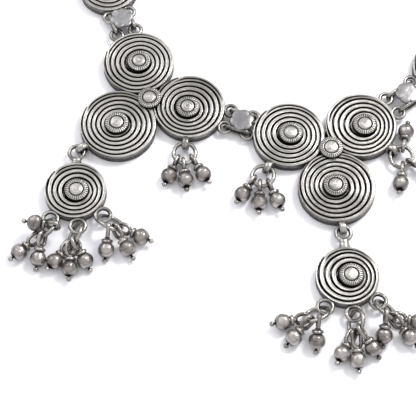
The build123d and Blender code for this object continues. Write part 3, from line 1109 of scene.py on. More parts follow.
@dataclass(frozen=True)
class Fittings:
    """Rings and loops soldered on a rim."""

    sides: int = 12
    strap_sides: int = 16
    strap_round: float = 0.8
    steps: int = 40
    foot_out: float = 0.1
    eye_foot_out: float = 0.15
    loop_foot_z: float = 1.9
    ring_foot_z: float = 2.0
    joint_z: float = 1.5
    loop_solder: Size = (0.5, 0.95, 1.1)
    eye_solder: Size = (0.45, 1.0, 0.6)
    ring_solder: Size = (0.5, 1.1, 0.75)
    joint_solder: Size = (0.7, 1.3, 1.2)

    def ring(self, work: Casting, centre: Vector, mean_r: float, wire: float) -> None:
        """A flat ring of round wire.

        Args:
            work: The piece that it joins.
            centre: Its middle.
            mean_r: Its radius, to the wire's middle.
            wire: The wire's diameter.
        """
        shape = work.shape()
        shape.lathe(round_wire(mean_r, wire, self.sides), self.steps, closed=True)
        shape.wobble(amount=0.06, size=1.8)
        work.join(shape, at(centre))

    def eye(self, work: Casting, centre: Vector) -> None:
        """A flat eye at the height of the flower links."""
        mean_r = (GAUGE.eye_od - GAUGE.eye_wire) / 2
        self.ring(work, centre + UP * GAUGE.eye_z, mean_r, GAUGE.eye_wire)

    def solder(self, work: Casting, centre: Vector, size: Size, turn: float) -> None:
        """A lump of solder.

        Args:
            work: The piece that it joins.
            centre: Its middle.
            size: Its half widths.
            turn: Its heading in degrees.
        """
        shape = work.shape()
        bmesh.ops.create_icosphere(shape.mesh, subdivisions=3, radius=1.0)
        # Darker towards the bottom of the lump
        for vert in shape.mesh.verts:
            vert[shape.patina_and_shade] = 0.3 + 0.4 * max(0.0, -vert.co.z)
        shape.move(Matrix.Diagonal((*size, 1.0)))
        shape.wobble(amount=0.16, size=0.7)
        work.join(shape, at(centre, turn))

    def thick_loop(self, work: Casting, centre: Vector, radius: float, heading: float) -> None:
        """An upright strap loop that stands on the surface at a disc's rim.

        Args:
            work: The piece that it joins.
            centre: The disc's middle.
            radius: The disc's radius.
            heading: Where on the rim it stands.
        """
        outer = GAUGE.loop_od / 2
        thick = GAUGE.loop_t / 2
        half = GAUGE.loop_w / 2
        points = []
        for i in range(self.strap_sides):
            angle = 2 * pi * i / self.strap_sides
            out = eased(cos(angle), self.strap_round)
            up = eased(sin(angle), self.strap_round)
            points.append((outer - thick + thick * out, half * up, 0.1 + 0.7 * max(0.0, -out)))
        shape = work.shape()
        shape.lathe(points, self.steps, closed=True)
        # Darker towards the bottom of the loop
        for vert in shape.mesh.verts:
            vert[shape.patina_and_shade] += 0.4 * max(0.0, -vert.co.y / outer)
        shape.wobble(amount=0.14, size=1.6)
        middle = centre + polar(radius + GAUGE.loop_at, heading) + UP * outer
        work.join(shape, at(middle, heading) @ tilt(90.0, "X"))
        foot = centre + polar(radius + self.foot_out, heading) + UP * self.loop_foot_z
        self.solder(work, foot, self.loop_solder, heading)


FITTINGS = Fittings()


@dataclass(frozen=True)
class Oval:
    """A long link of round wire, measured to the wire's middle, lying flat along X."""

    length: float
    width: float
    wire: float
    sides: int = 12
    steps: int = 16

    def build(self, work: Casting, place: Matrix, wobble: float = 0.05) -> None:
        """Bends the wire round and closes it.

        Args:
            work: The piece that it joins.
            place: Where the link goes.
            wobble: How uneven it is.
        """
        bend = self.width / 2
        near = Vector((0.0, (self.length - self.width) / 2, 0.0))
        shape = work.shape()
        start = shape.section(round_wire(bend, self.wire, self.sides, inner=0.6, outer=0.12), True, near)
        turned = shape.spin(start, 180.0, self.steps, near)
        run = shape.draw_out(turned, -2 * near)
        last = shape.spin(run, 180.0, self.steps, -near)
        bmesh.ops.bridge_loops(shape.mesh, edges=edges_of(start) + edges_of(last))
        shape.wobble(amount=wobble, size=1.5)
        work.join(shape, place @ spin_z(-90.0))


# Sub-assemblies


@dataclass(frozen=True)
class Disc:
    """A wound disc in its place, its boss shifted by a share of the boss's radius."""

    centre: Vector
    radius: float
    start: float
    shift: tuple[float, float]

    def build(self, work: Casting) -> None:
        """Winds the disc and sets its boss.

        Args:
            work: The piece that it joins.
        """
        offset = Vector((*self.shift, 0.0)) * BOSS.radius
        WireCoil(self.radius, spin_z(-self.start) @ offset).build(work, at(self.centre, self.start))
        BOSS.build(work, at(self.centre + offset + UP * GAUGE.disc_h), foot=0.8)

    def eye_reach(self) -> float:
        """How far in front of its middle a pair of eyes is."""
        return sqrt((self.radius + GAUGE.eye_at) ** 2 - GAUGE.eye_spread ** 2)

    def link_eyes(self, work: Casting, heading: float) -> None:
        """Solders the pair of eyes that faces a flower link.

        Args:
            work: The piece that they join.
            heading: Where the link is.
        """
        reach = self.radius + GAUGE.eye_at
        spread = degrees(asin(GAUGE.eye_spread / reach))
        for side in (-1, 1):
            course = heading + side * spread
            FITTINGS.eye(work, self.centre + polar(reach, course))
            foot = self.centre + polar(self.radius + FITTINGS.eye_foot_out, course) + UP * GAUGE.eye_z
            FITTINGS.solder(work, foot, FITTINGS.eye_solder, course)


@dataclass(frozen=True)
class LinkPlan:
    """How a flower link lies between two discs, in shares of the eye's wire."""

    start: tuple[str, str]
    end: tuple[str, str]
    play: float
    slide: float
    shift: float


@dataclass(frozen=True)
class PendantPlan:
    """How a pendant hangs, with slip and neck in shares of its ring's wire."""

    host: tuple[str, str]
    hang: float
    axis: float
    slip: float
    neck: float
    boss: tuple[float, float]


@dataclass(frozen=True)
class RingPlan:
    """How a jump ring lies: on a disc by heading and lift, on a pendant also by reach."""

    heading: float
    pitch: float
    lean: float
    lift: float
    reach: float = 1.0
    host: tuple[str, str] = ("", "")


@dataclass(frozen=True)
class DropPlan:
    """How a bead drop lies on its ring.

    Angles are in degrees, tip is a share of the bead's radius, loop of the pin's plain loop
    and slack of the ring's wire.
    """

    around: float
    swing: float
    tip: float
    loop: float
    slack: float


DISC_PLANS = {
    ("left", "west"): (150.0, (0.05, -0.03)),
    ("left", "east"): (100.0, (-0.17, -0.18)),
    ("left", "front"): (140.0, (-0.10, -0.02)),
    ("centre", "west"): (120.0, (0.16, 0.0)),
    ("centre", "east"): (160.0, (0.28, -0.11)),
    ("centre", "front"): (130.0, (-0.11, 0.05)),
    ("right", "west"): (110.0, (-0.06, 0.08)),
    ("right", "east"): (150.0, (0.10, -0.05)),
    ("right", "front"): (125.0, (0.04, 0.12)),
}

MIDDLE_BOSSES = {"left": (0.03, -0.22), "centre": (0.18, -0.10), "right": (-0.12, -0.06)}

LINKS = {
    "left_front": LinkPlan(("left", "east"), ("centre", "west"), 0.7, 0.4, 0.6),
    "right_front": LinkPlan(("centre", "east"), ("right", "west"), -0.7, 0.4, 0.6),
    "left_side": LinkPlan(("left", "west"), ("end", "left"), 0.0, 0.6, 0.4),
    "right_side": LinkPlan(("right", "east"), ("end", "right"), 0.0, -0.3, 0.0),
}

PENDANTS = {
    "left": PendantPlan(("left", "front"), 209.0, 262.0, 0.0, 1.3, (0.10, -0.13)),
    "centre": PendantPlan(("centre", "front"), 267.0, 264.0, -0.45, 2.3, (0.29, -0.06)),
    "right": PendantPlan(("right", "front"), 330.0, 284.0, 0.0, 1.6, (-0.08, 0.05)),
}

HANG_PLACES = {"west": -38.0, "mid": 5.0, "east": 46.0}

DISC_RINGS = {
    "disc_left_east": RingPlan(256.5, -2.0, 0.0, 0.15, host=("left", "east")),
    "disc_centre_west": RingPlan(231.0, -2.0, 3.0, 0.15, host=("centre", "west")),
    "disc_centre_east": RingPlan(309.0, -2.0, 10.0, 0.4, host=("centre", "east")),
    "disc_right_west": RingPlan(284.0, -2.0, -4.0, 0.15, host=("right", "west")),
}

PENDANT_RINGS = {
    ("left", "west"): RingPlan(-20.0, 16.0, 42.0, 0.9, 1.03),
    ("left", "mid"): RingPlan(-10.0, 10.0, 60.0, 1.5, 0.94),
    ("left", "east"): RingPlan(40.0, 16.0, -42.0, 0.9, 1.03),
    ("centre", "west"): RingPlan(-48.0, 16.0, 42.0, 0.9, 1.03),
    ("centre", "mid"): RingPlan(2.0, 10.0, 60.0, 1.5, 0.94),
    ("centre", "east"): RingPlan(30.0, 14.0, -50.0, 1.2, 1.0),
    ("right", "west"): RingPlan(-38.0, 16.0, 42.0, 0.9, 1.03),
    ("right", "mid"): RingPlan(6.0, 10.0, -60.0, 1.5, 0.94),
    ("right", "east"): RingPlan(38.0, 16.0, -42.0, 0.9, 1.03),
}

# Around, swing, tip, loop and slack of each drop
DROP_ROWS = {
    "disc_left_east": (
        (-40, -18.5, 0.0, 1.1, 0.3), (0, 11.5, 0.0, 1.1, 0.3), (55, 37.5, 0.0, 1.1, 0.3),
    ),
    "disc_centre_west": (
        (-35, -3, 0.0, 1.1, 0.4), (15, 27, 0.0, 1.1, 0.4), (65, 54, 0.0, 1.1, 0.2),
    ),
    "disc_centre_east": (
        (-45, -57, 0.13, 1.1, 0.3), (10, 9, 0.0, 1.1, 0.3), (120, 120, 0.0, 1.1, 0.3),
    ),
    "disc_right_west": (
        (-60, -34, 0.0, 1.1, 0.3), (-5, -8, 0.0, 1.1, 0.3), (42, 24, 0.0, 1.1, 0.3),
    ),
    "pendant_left_west": (
        (-32, -28, 0.0, 1.3, 0.1), (12, 8, 0.0, 1.3, 0.3), (90, -80, 1.36, 1.1, 0.3),
    ),
    "pendant_left_mid": (
        (-45, -28, 0.0, 1.35, 0.3), (-12, 6, 0.0, 1.35, 0.2), (25, 40, 0.05, 1.25, 0.3),
    ),
    "pendant_left_east": (
        (-50, -48, 0.0, 1.3, 0.2), (-12, -8, 0.0, 1.3, 0.3), (35, 24, 0.0, 1.2, 0.1),
    ),
    "pendant_centre_west": (
        (-40, -34, 0.0, 1.2, 0.2), (5, 0, 0.0, 1.25, 0.3), (55, 40, 0.09, 1.2, 0.3),
    ),
    "pendant_centre_mid": (
        (-45, -32, 0.0, 1.35, 0.3), (-10, -2, 0.0, 1.5, 0.2), (28, 34, 0.05, 1.3, 0.3),
    ),
    "pendant_centre_east": (
        (-47, -38, 0.2, 1.2, 0.3), (2, 8, 0.0, 1.45, 0.4), (34, 46, 0.0, 1.2, 0.1),
    ),
    "pendant_right_west": (
        (-35, -24, 0.0, 1.3, 0.1), (12, 8, 0.0, 1.25, 0.3), (62, 38, 0.07, 1.25, 0.4),
    ),
    "pendant_right_mid": (
        (45, 28, 0.0, 1.35, 0.3), (10, -4, 0.0, 1.45, 0.2), (-28, -38, 0.05, 1.3, 0.3),
    ),
    "pendant_right_east": (
        (-60, -40, 0.07, 1.25, 0.4), (-12, -6, 0.0, 1.3, 0.3), (36, 26, 0.0, 1.25, 0.1),
    ),
}

DROPS = {name: tuple(DropPlan(*row) for row in rows) for name, rows in DROP_ROWS.items()}


@dataclass
class JumpRing:
    """A plain jump ring as it lies, with its cut."""

    centre: Vector
    mean_r: float
    course: float
    plan: RingPlan
    cut: float = 4.0
    sides: int = 14
    steps: int = 56

    def __post_init__(self) -> None:
        """Works out the ring's tilted plane."""
        lean = radians(self.plan.lean)
        self.ahead = direction(self.course, self.plan.pitch)
        across = UP.cross(self.ahead).normalized()
        self.side = across * cos(lean) + self.ahead.cross(across) * sin(lean)
        self.normal = self.ahead.cross(self.side)

    def wire_at(self, around: float) -> tuple[Vector, Vector]:
        """A place on the ring.

        Args:
            around: The angle on the ring, in degrees.

        Returns:
            The point on the wire's middle line, and the wire's direction there.
        """
        c = cos(radians(around))
        s = sin(radians(around))
        point = self.centre + (self.ahead * c + self.side * s) * self.mean_r
        return point, self.side * c - self.ahead * s

    def build(self, work: Casting, cut_at: float) -> None:
        """Bends the ring, leaving its cut a hair open.

        Args:
            work: The piece that it joins.
            cut_at: Where on the ring the cut is, in degrees.
        """
        wire = round_wire(self.mean_r, GAUGE.jump_wire, self.sides, inner=0.45, outer=0.12)
        geom = work.section(wire, True)
        work.cap(geom)
        work.cap(work.spin(geom, 360.0 - self.cut, self.steps))
        work.wobble(amount=0.05, size=2.0)
        work.move(frame_at(self.centre, self.ahead, self.normal) @ spin_z(cut_at))


# The seam round a bead: by latitude, how far it stands out and how dark it is
BEAD_SEAM = {0: (0.03, 0.2), -2.5: (-0.02, 0.6), 2.5: (-0.01, 0.35)}


@dataclass(frozen=True)
class BeadDrop:
    """A drilled bead on a headpin, made along +Z with the bead's middle at the origin."""

    bead_r: float = 2.35
    lie: float = 0.05
    stem_r: float = 0.35
    tail_r: float = 0.78
    collar_r: float = 1.2
    collar_wire: float = 0.85
    neck_r: float = 0.85
    pin_wire: float = 0.95
    loop_l: float = 4.0
    loop_w: float = 3.8
    loop_foot: float = 3.2
    run: float = 0.15
    tail_squash: float = 0.94
    # Painted shade: how much darker each bead grows towards its bottom
    painted_underside_shade: float = 0.55

    def lay(self, ring: JumpRing, plan: DropPlan) -> Matrix:
        """Where the drop lies.

        Args:
            ring: The ring that holds it.
            plan: How it lies there.

        Returns:
            The matrix from the drop's own place to where it lies.
        """
        loop = plan.loop * self.loop_l
        point, wire = ring.wire_at(plan.around)
        reach = self.loop_foot + loop - self.pin_wire
        reach -= GAUGE.jump_wire / 2 + self.run + plan.slack * GAUGE.jump_wire
        bead_z = self.bead_r * (1 + plan.tip) + self.lie
        rise = (bead_z - point.z) / reach
        axis = polar(sqrt(1 - rise ** 2), ring.course + plan.swing) + UP * rise
        facing = (wire - axis * wire.dot(axis)).normalized()
        return frame_at(point + axis * reach, facing, axis)

    def pin(self, work: Casting, place: Matrix, plan: DropPlan) -> None:
        """Makes the headpin: loop, neck, collar, stem and tail ball.

        Args:
            work: The piece that it joins.
            place: Where the drop lies.
            plan: Its loop's length.
        """
        near = self.bead_r + GAUGE.fit
        tail_at = near + self.tail_r
        collar_at = sqrt((near + self.collar_wire / 2) ** 2 - self.collar_r ** 2)
        end = -(self.loop_foot + self.pin_wire / 2)
        shape = work.shape()
        tail = work.shape()
        tail.ball(Vector((0.0, 0.0, 0.0)), self.tail_r)
        for vert in tail.mesh.verts:
            vert[tail.patina_and_shade] = 0.12 + 0.6 * max(0.0, -vert.co.z / self.tail_r)
        squash = Matrix.Diagonal((1.0, 1.0, self.tail_squash, 1.0))
        shape.join(tail, Matrix.Translation(UP * tail_at) @ squash)
        stem = work.shape()
        stem.lathe(
            [
                (0.0, tail_at, 0.8), (self.stem_r, tail_at, 0.8), (self.stem_r, -near, 1.0),
                (self.neck_r, -near - 0.03, 0.9), (self.neck_r, (end - near) / 2, 0.3),
                (self.neck_r * 0.92, end, 0.4), (0.3, end - 0.3, 0.5), (0.0, end - 0.35, 0.5),
            ],
            steps=20,
        )
        shape.join(stem)
        collar = work.shape()
        wire = round_wire(self.collar_r, self.collar_wire, 12, inner=0.95, outer=0.12)
        collar.lathe(wire, steps=32, closed=True)
        shape.join(collar, Matrix.Translation(UP * -collar_at))
        loop = plan.loop * self.loop_l
        turn = Matrix.Translation(UP * -(self.loop_foot + loop / 2)) @ tilt(-90.0, "Y")
        link = Oval(loop - self.pin_wire, self.loop_w - self.pin_wire, self.pin_wire)
        link.build(shape, turn)
        shape.wobble(amount=0.05, size=1.3)
        work.join(shape, place)

    def bead(self, work: Casting, place: Matrix) -> None:
        """Makes the bead of two raised halves, drilled, with the seam round its middle and painted shade
        on its lower half.

        Args:
            work: The piece that it joins.
            place: Where the drop lies.
        """
        hole = self.stem_r + GAUGE.fit
        radius = self.bead_r + GAUGE.fuller
        points = [(hole, -1.7, 1.0), (hole + 0.05, -2.1, 1.0)]
        for latitude in (-64, -54, -44, -34, -24, -14, -6, -2.5, 0, 2.5, 6, 14, 24, 34, 44, 54, 64):
            plain = (0.0, 0.08 + 0.6 * (abs(latitude) / 64) ** 3)
            seam, dark = BEAD_SEAM.get(latitude, plain)
            reach = radius + seam
            points.append((reach * cos(radians(latitude)), reach * sin(radians(latitude)), dark))
        points += [(0.85, 2.2, 0.9), (0.7, 1.95, 1.0), (hole, 1.7, 1.0)]
        shape = work.shape()
        shape.lathe(points, steps=40, closed=True)
        shape.wobble(amount=0.13, size=1.5)
        squeeze = work.random.uniform(0.95, 0.995)
        turn = spin_z(work.random.uniform(0.0, 360.0))
        shape.move(place @ turn @ Matrix.Diagonal((squeeze, 1.0, 0.99, 1.0)))
        # Painted shade: each bead darkens towards its bottom, by how far a point lies below the bead's
        # middle
        for vert in shape.mesh.verts:
            below = (place.translation.z - vert.co.z) / radius
            vert[shape.patina_and_shade] += self.painted_underside_shade * max(0.0, below)
        work.join(shape)


# How far round the neck each trefoil is, in degrees
TREFOIL_TURNS = {"left": -53.1, "centre": 0.0, "right": 56.0}


@dataclass
class Layout:
    """Works out where every disc, pendant and ring lies, from the same sizes as the frame."""

    disc_r: float = 10.75
    front_disc_r: float = 11.45
    end_disc_r: float = 9.1
    pendant_r: float = 9.1
    side_reach: float = 12.7
    front_reach: float = 13.0
    side_rise: float = 30.0
    end_gap: float = 9.7
    end_start: float = 90.0
    disc_ring_od: float = 7.6
    pendant_ring_od: float = 8.2
    turns: dict[str, float] = field(default_factory=lambda: dict(TREFOIL_TURNS))
    discs: dict[tuple[str, str], Disc] = field(default_factory=dict)
    rings: dict[str, JumpRing] = field(default_factory=dict)

    def __post_init__(self) -> None:
        """Lays out the discs and the rings on them."""
        spots = (
            (Place.WEST, self.side_reach, 180 - self.side_rise, self.disc_r),
            (Place.EAST, self.side_reach, self.side_rise, self.disc_r),
            (Place.FRONT, self.front_reach, 270.0, self.front_disc_r),
        )
        for unit in self.turns:
            for place, reach, angle, radius in spots:
                start, shift = DISC_PLANS[unit, place.value]
                centre = self.round_neck(polar(reach, angle), unit)
                self.discs[unit, place.value] = Disc(centre, radius, start, shift)
        for unit, host, sense in (("left", ("left", "west"), -1), ("right", ("right", "east"), 1)):
            arm = self.discs[host].centre - GAUGE.neck
            step = self.disc_r + self.end_gap + self.end_disc_r
            squares = arm.length ** 2 + GAUGE.chain_r ** 2 - step ** 2
            swing = degrees(pi / 2 - asin(squares / (2 * arm.length * GAUGE.chain_r)))
            centre = GAUGE.neck + polar(GAUGE.chain_r, heading_of(arm) + sense * swing)
            self.discs["end", unit] = Disc(centre, self.end_disc_r, self.end_start, (0.0, 0.0))
        for name, plan in DISC_RINGS.items():
            disc = self.discs[plan.host]
            mean_r = (self.disc_ring_od - GAUGE.jump_wire) / 2
            hole = disc.centre + polar(disc.radius + GAUGE.loop_at, plan.heading)
            hole += UP * (GAUGE.loop_od / 2 + plan.lift * GAUGE.jump_wire)
            rise = radians(plan.pitch)
            hub = hole + polar(mean_r * cos(rise), plan.heading) + UP * mean_r * sin(rise)
            self.rings[name] = JumpRing(hub, mean_r, plan.heading, plan)

    def round_neck(self, point: Vector, unit: str) -> Vector:
        """A point of the centre trefoil turned to another trefoil's place."""
        return GAUGE.neck + spin_z(self.turns[unit]) @ (point - GAUGE.neck)


@dataclass
class Trefoil:
    """Three wound discs soldered round a middle boss, with what is soldered on their rims."""

    unit: str
    layout: Layout

    def build(self, shop: Workshop, seed: int) -> None:
        """Makes the discs and their fittings.

        Args:
            shop: Where the materials are.
            seed: What its unevenness starts from.
        """
        discs = [self.layout.discs[self.unit, place.value] for place in Place]
        work = Casting(seed)
        for disc in discs:
            disc.build(work)
        shift = MIDDLE_BOSSES[self.unit]
        middle = self.layout.round_neck(Vector((0.0, 0.0, 0.0)), self.unit)
        middle += Vector((*shift, 0.0)) * BOSS.radius + UP * GAUGE.disc_h
        BOSS.build(work, at(middle), foot=GAUGE.disc_h - 0.05)
        work.finish(f"wound_discs_{self.unit}", Slot.WOUND, [f"trefoil_{self.unit}"], shop)
        self._fittings(discs, shop, seed + 1)

    def _fittings(self, discs: list[Disc], shop: Workshop, seed: int) -> None:
        """Makes the eyes, thick loops and solder of the trefoil.

        Args:
            discs: Its discs in their order.
            shop: Where the materials are.
            seed: What its unevenness starts from.
        """
        work = Casting(seed)
        for disc, other in zip(discs, discs[1:] + discs[:1]):
            line = other.centre - disc.centre
            touch = disc.centre + line.normalized() * (line.length + disc.radius - other.radius) / 2
            touch += UP * FITTINGS.joint_z
            FITTINGS.solder(work, touch, FITTINGS.joint_solder, heading_of(line))
        solder_links(work, self.layout, self.unit)
        loops = [(plan.host, plan.hang) for plan in PENDANTS.values()]
        loops += [(plan.host, plan.heading) for plan in DISC_RINGS.values()]
        for key, heading in loops:
            if key[0] == self.unit:
                host = self.layout.discs[key]
                FITTINGS.thick_loop(work, host.centre, host.radius, heading)
        work.finish(f"soldered_loops_{self.unit}", Slot.RING, [f"trefoil_{self.unit}"], shop)


def solder_links(work: Casting, layout: Layout, unit: str, side: str = "") -> None:
    """Solders the eyes of every flower link that ends on a unit.

    Args:
        work: The piece that they join.
        layout: Where the discs lie.
        unit: The trefoil, or end for an end disc.
        side: Which end disc.
    """
    for plan in LINKS.values():
        line = layout.discs[plan.end].centre - layout.discs[plan.start].centre
        for key, heading in ((plan.start, heading_of(line)), (plan.end, heading_of(-line))):
            if key[0] == unit and side in ("", key[1]):
                layout.discs[key].link_eyes(work, heading)


@dataclass
class EndDisc:
    """The last disc before the chain."""

    side: str
    sense: int
    layout: Layout

    def chain_eye(self) -> tuple[Vector, float]:
        """The eye that the chain starts from.

        Returns:
            Its middle, and its angle round the neck in degrees.
        """
        disc = self.layout.discs["end", self.side]
        half = degrees(asin((disc.radius + GAUGE.eye_at) / 2 / GAUGE.chain_r))
        angle = heading_of(disc.centre - GAUGE.neck) + self.sense * 2 * half
        return GAUGE.neck + polar(GAUGE.chain_r, angle), angle

    def build(self, shop: Workshop, seed: int) -> None:
        """Makes the disc and its eyes.

        Args:
            shop: Where the materials are.
            seed: What its unevenness starts from.
        """
        disc = self.layout.discs["end", self.side]
        node = f"end_disc_{self.side}"
        work = Casting(seed)
        disc.build(work)
        work.finish(f"wound_end_{self.side}", Slot.WOUND, [node], shop)
        work = Casting(seed + 1)
        solder_links(work, self.layout, "end", self.side)
        eye, _ = self.chain_eye()
        FITTINGS.eye(work, eye)
        work.finish(f"soldered_eyes_{self.side}", Slot.RING, [node], shop)


@dataclass
class FlowerLink:
    """A six-petal plate on two upright oval loops."""

    name: str
    plan: LinkPlan
    layout: Layout
    oval_wire: float = 0.9
    oval_h: float = 3.4
    plate_r: float = 3.5
    petal: float = 0.32
    plate_t: float = 0.95
    sink: float = 0.2
    plate_turn: float = 30.0
    askew: float = 8.0
    lobe_power: float = 0.6
    valley_depth: float = 0.25
    valley_dark: float = 0.5

    def build(self, shop: Workshop, seed: int) -> None:
        """Makes the loops and the plate.

        Args:
            shop: Where the materials are.
            seed: What its unevenness starts from.
        """
        start = self.layout.discs[self.plan.start]
        end = self.layout.discs[self.plan.end]
        line = end.centre - start.centre
        first = start.eye_reach()
        last = line.length - end.eye_reach()
        length = last - first + self.plan.play * GAUGE.eye_wire
        middle = (first + last) / 2 + self.plan.slide * GAUGE.eye_wire
        base = at(start.centre, heading_of(line))
        node = f"flower_link_{self.name}"
        work = Casting(seed)
        for side in (-1, 1):
            place = base @ Matrix.Translation((middle, side * GAUGE.eye_spread, GAUGE.eye_z))
            loop = Oval(length, self.oval_h - self.oval_wire, self.oval_wire)
            loop.build(work, place @ tilt(90.0, "X"))
        work.finish(f"link_loops_{self.name}", Slot.RING, [node], shop)
        work = Casting(seed + 1)
        height = GAUGE.eye_z + self.oval_h / 2 - self.sink
        seat = base @ Matrix.Translation((middle + self.plan.shift * GAUGE.eye_wire, 0.0, height))
        askew = work.random.uniform(-self.askew, self.askew)
        self._plate(work, seat @ spin_z(self.plate_turn + askew))
        work.finish(f"petal_plate_{self.name}", Slot.PETAL, [node], shop)

    def _plate(self, work: Casting, place: Matrix) -> None:
        """Turns the plate as a pillowed round, then draws it out in six petals.

        Args:
            work: The piece that it joins.
            place: Where it goes.
        """
        r = self.plate_r
        t = self.plate_t
        shape = work.shape()
        shape.lathe(
            [
                (0.0, 0.0, 0.7), (r * 0.6, 0.0, 0.7), (r * 0.93, 0.0, 0.7), (r * 0.99, 0.08, 0.5),
                (r, 0.22, 0.3), (r, t * 0.5, 0.15), (r * 0.985, t * 0.66, 0.05),
                (r * 0.95, t * 0.78, 0.0), (r * 0.88, t * 0.86, 0.0), (r * 0.76, t * 0.92, 0.0),
                (r * 0.62, t * 0.96, 0.0), (r * 0.46, t * 0.985, 0.0), (r * 0.3, t, 0.0),
                (r * 0.15, t, 0.0), (0.0, t, 0.0),
            ],
            steps=96,
        )
        for vert in shape.mesh.verts:
            edge = hypot(vert.co.x, vert.co.y) / r
            lobe = abs(cos(3 * atan2(vert.co.y, vert.co.x))) ** self.lobe_power
            draw = 1 + self.petal / r * (2 * lobe - 1.3) * edge ** 3
            vert.co.x *= draw
            vert.co.y *= draw
            if vert.co.z > t * 0.6:
                valley = (1 - lobe) * max(0.0, edge - 0.6)
                vert.co.z -= self.valley_depth * valley
                vert[shape.patina_and_shade] += self.valley_dark * valley
        shape.wobble(amount=0.1, size=2.2)
        work.join(shape, place)


@dataclass
class Pendant:
    """A wound disc that hangs from a trefoil, with three rings for its beads."""

    name: str
    plan: PendantPlan
    layout: Layout
    post_r: float = 0.75
    post_seat: float = 0.45
    post_spread: float = 1.9
    wire_back: float = 135.0

    def build(self, shop: Workshop, seed: int) -> None:
        """Makes the disc, its rings and its neck post, and lays out its jump rings.

        Args:
            shop: Where the materials are.
            seed: What its unevenness starts from.
        """
        plan = self.plan
        host = self.layout.discs[plan.host]
        radius = self.layout.pendant_r
        wire = GAUGE.hang_wire
        hole = host.centre + polar(host.radius + GAUGE.loop_at, plan.hang)
        top = hole + polar(plan.slip * wire + GAUGE.hang_mean_r, plan.hang)
        rim = GAUGE.hang_at + plan.neck * wire
        centre = top + polar(rim + radius, plan.axis)
        node = f"pendant_{self.name}"
        work = Casting(seed)
        Disc(centre, radius, plan.axis - self.wire_back, plan.boss).build(work)
        work.finish(f"wound_pendant_{self.name}", Slot.WOUND, [node], shop)

        work = Casting(seed + 1)
        lift = UP * GAUGE.hang_z
        FITTINGS.ring(work, top + lift, GAUGE.hang_mean_r, wire)
        self._post(work, top + lift, rim)
        for place, off in HANG_PLACES.items():
            course = plan.axis + off
            middle = centre + polar(radius + GAUGE.hang_at, course)
            FITTINGS.ring(work, middle + lift, GAUGE.hang_mean_r, wire)
            foot = centre + polar(radius + FITTINGS.foot_out, course) + UP * FITTINGS.ring_foot_z
            FITTINGS.solder(work, foot, FITTINGS.ring_solder, course)
            self._ring(place, middle)
        work.finish(f"soldered_rings_{self.name}", Slot.RING, [node], shop)

    def _post(self, work: Casting, top: Vector, rim: float) -> None:
        """Makes the short neck post between the top ring and the disc.

        Args:
            work: The piece that it joins.
            top: The top ring's middle.
            rim: From there to the disc's rim.
        """
        length = rim - GAUGE.hang_mean_r + self.post_seat
        shape = work.shape()
        shape.lathe(
            [
                (0.0, 0.0, 0.3), (self.post_r, 0.0, 0.3), (self.post_r * 0.98, length * 0.3, 0.15),
                (self.post_r * 1.05, length * 0.55, 0.1), (self.post_r * 1.2, length * 0.8, 0.15),
                (self.post_r * 1.45, length, 0.2), (0.0, length, 0.3),
            ],
            steps=24,
        )
        for vert in shape.mesh.verts:
            vert.co.y *= self.post_spread
        shape.wobble(amount=0.08, size=1.0)
        start = top + polar(GAUGE.hang_mean_r, self.plan.axis)
        work.join(shape, at(start, self.plan.axis) @ tilt(90.0, "Y"))

    def _ring(self, place: str, middle: Vector) -> None:
        """Lays out the jump ring that hangs from one bottom ring.

        Args:
            place: Which bottom ring.
            middle: The bottom ring's middle.
        """
        plan = PENDANT_RINGS[self.name, place]
        course = self.plan.axis + plan.heading
        mean_r = (self.layout.pendant_ring_od - GAUGE.jump_wire) / 2
        hub = middle + polar(plan.reach * mean_r, course)
        hub += UP * (GAUGE.hang_z + plan.lift * GAUGE.jump_wire)
        self.layout.rings[f"pendant_{self.name}_{place}"] = JumpRing(hub, mean_r, course, plan)


@dataclass
class Bunch:
    """A jump ring with its three bead drops."""

    name: str
    ring: JumpRing
    plans: tuple[DropPlan, ...]
    cut_from: float = 120.0
    cut_to: float = 240.0

    def build(self, shop: Workshop, seed: int) -> None:
        """Makes the ring, the pins and the beads.

        Args:
            shop: Where the materials are.
            seed: What its unevenness starts from.
        """
        work = Casting(seed)
        self.ring.build(work, work.random.uniform(self.cut_from, self.cut_to))
        work.finish(f"jump_ring_{self.name}", Slot.RING, [f"ring_{self.name}"], shop)
        drop = BeadDrop()
        pins = Casting(seed + 1)
        beads = Casting(seed + 2)
        for plan in self.plans:
            place = drop.lay(self.ring, plan)
            drop.pin(pins, place, plan)
            drop.bead(beads, place)
        pins.finish(f"headpins_{self.name}", Slot.PIN, [f"pins_{self.name}"], shop)
        beads.finish(f"drilled_beads_{self.name}", Slot.BEAD, [f"beads_{self.name}"], shop)


@dataclass
class NeckChain:
    """Oval links from an end disc to the hook."""

    end: EndDisc
    link_l: float = 7.3
    link_w: float = 4.6
    wire: float = 1.1
    roll: float = 45.0
    play: float = 0.15
    hooked: float = 5.2

    def build(self, shop: Workshop, seed: int) -> None:
        """Makes the links along the chain's circle.

        Args:
            shop: Where the materials are.
            seed: What its unevenness starts from.
        """
        _, start = self.end.chain_eye()
        sense = self.end.sense
        bar_to_bar = self.link_l - self.wire
        stop = 90 - sense * degrees(self.hooked / GAUGE.chain_r)
        span = radians(sense * (stop - start) % 360) * GAUGE.chain_r - bar_to_bar
        gaps = ceil(span / (bar_to_bar - self.wire - self.play))
        work = Casting(seed)
        for i in range(gaps + 1):
            angle = start + sense * degrees((bar_to_bar / 2 + span * i / gaps) / GAUGE.chain_r)
            middle = GAUGE.neck + polar(GAUGE.chain_r, angle) + UP * GAUGE.eye_z
            place = at(middle, angle + 90) @ tilt(self.roll if i % 2 else -self.roll, "X")
            Oval(bar_to_bar, self.link_w - self.wire, self.wire).build(work, place, 0.04)
        work.finish(f"cable_chain_{self.end.side}", Slot.CHAIN, [f"chain_{self.end.side}"], shop)


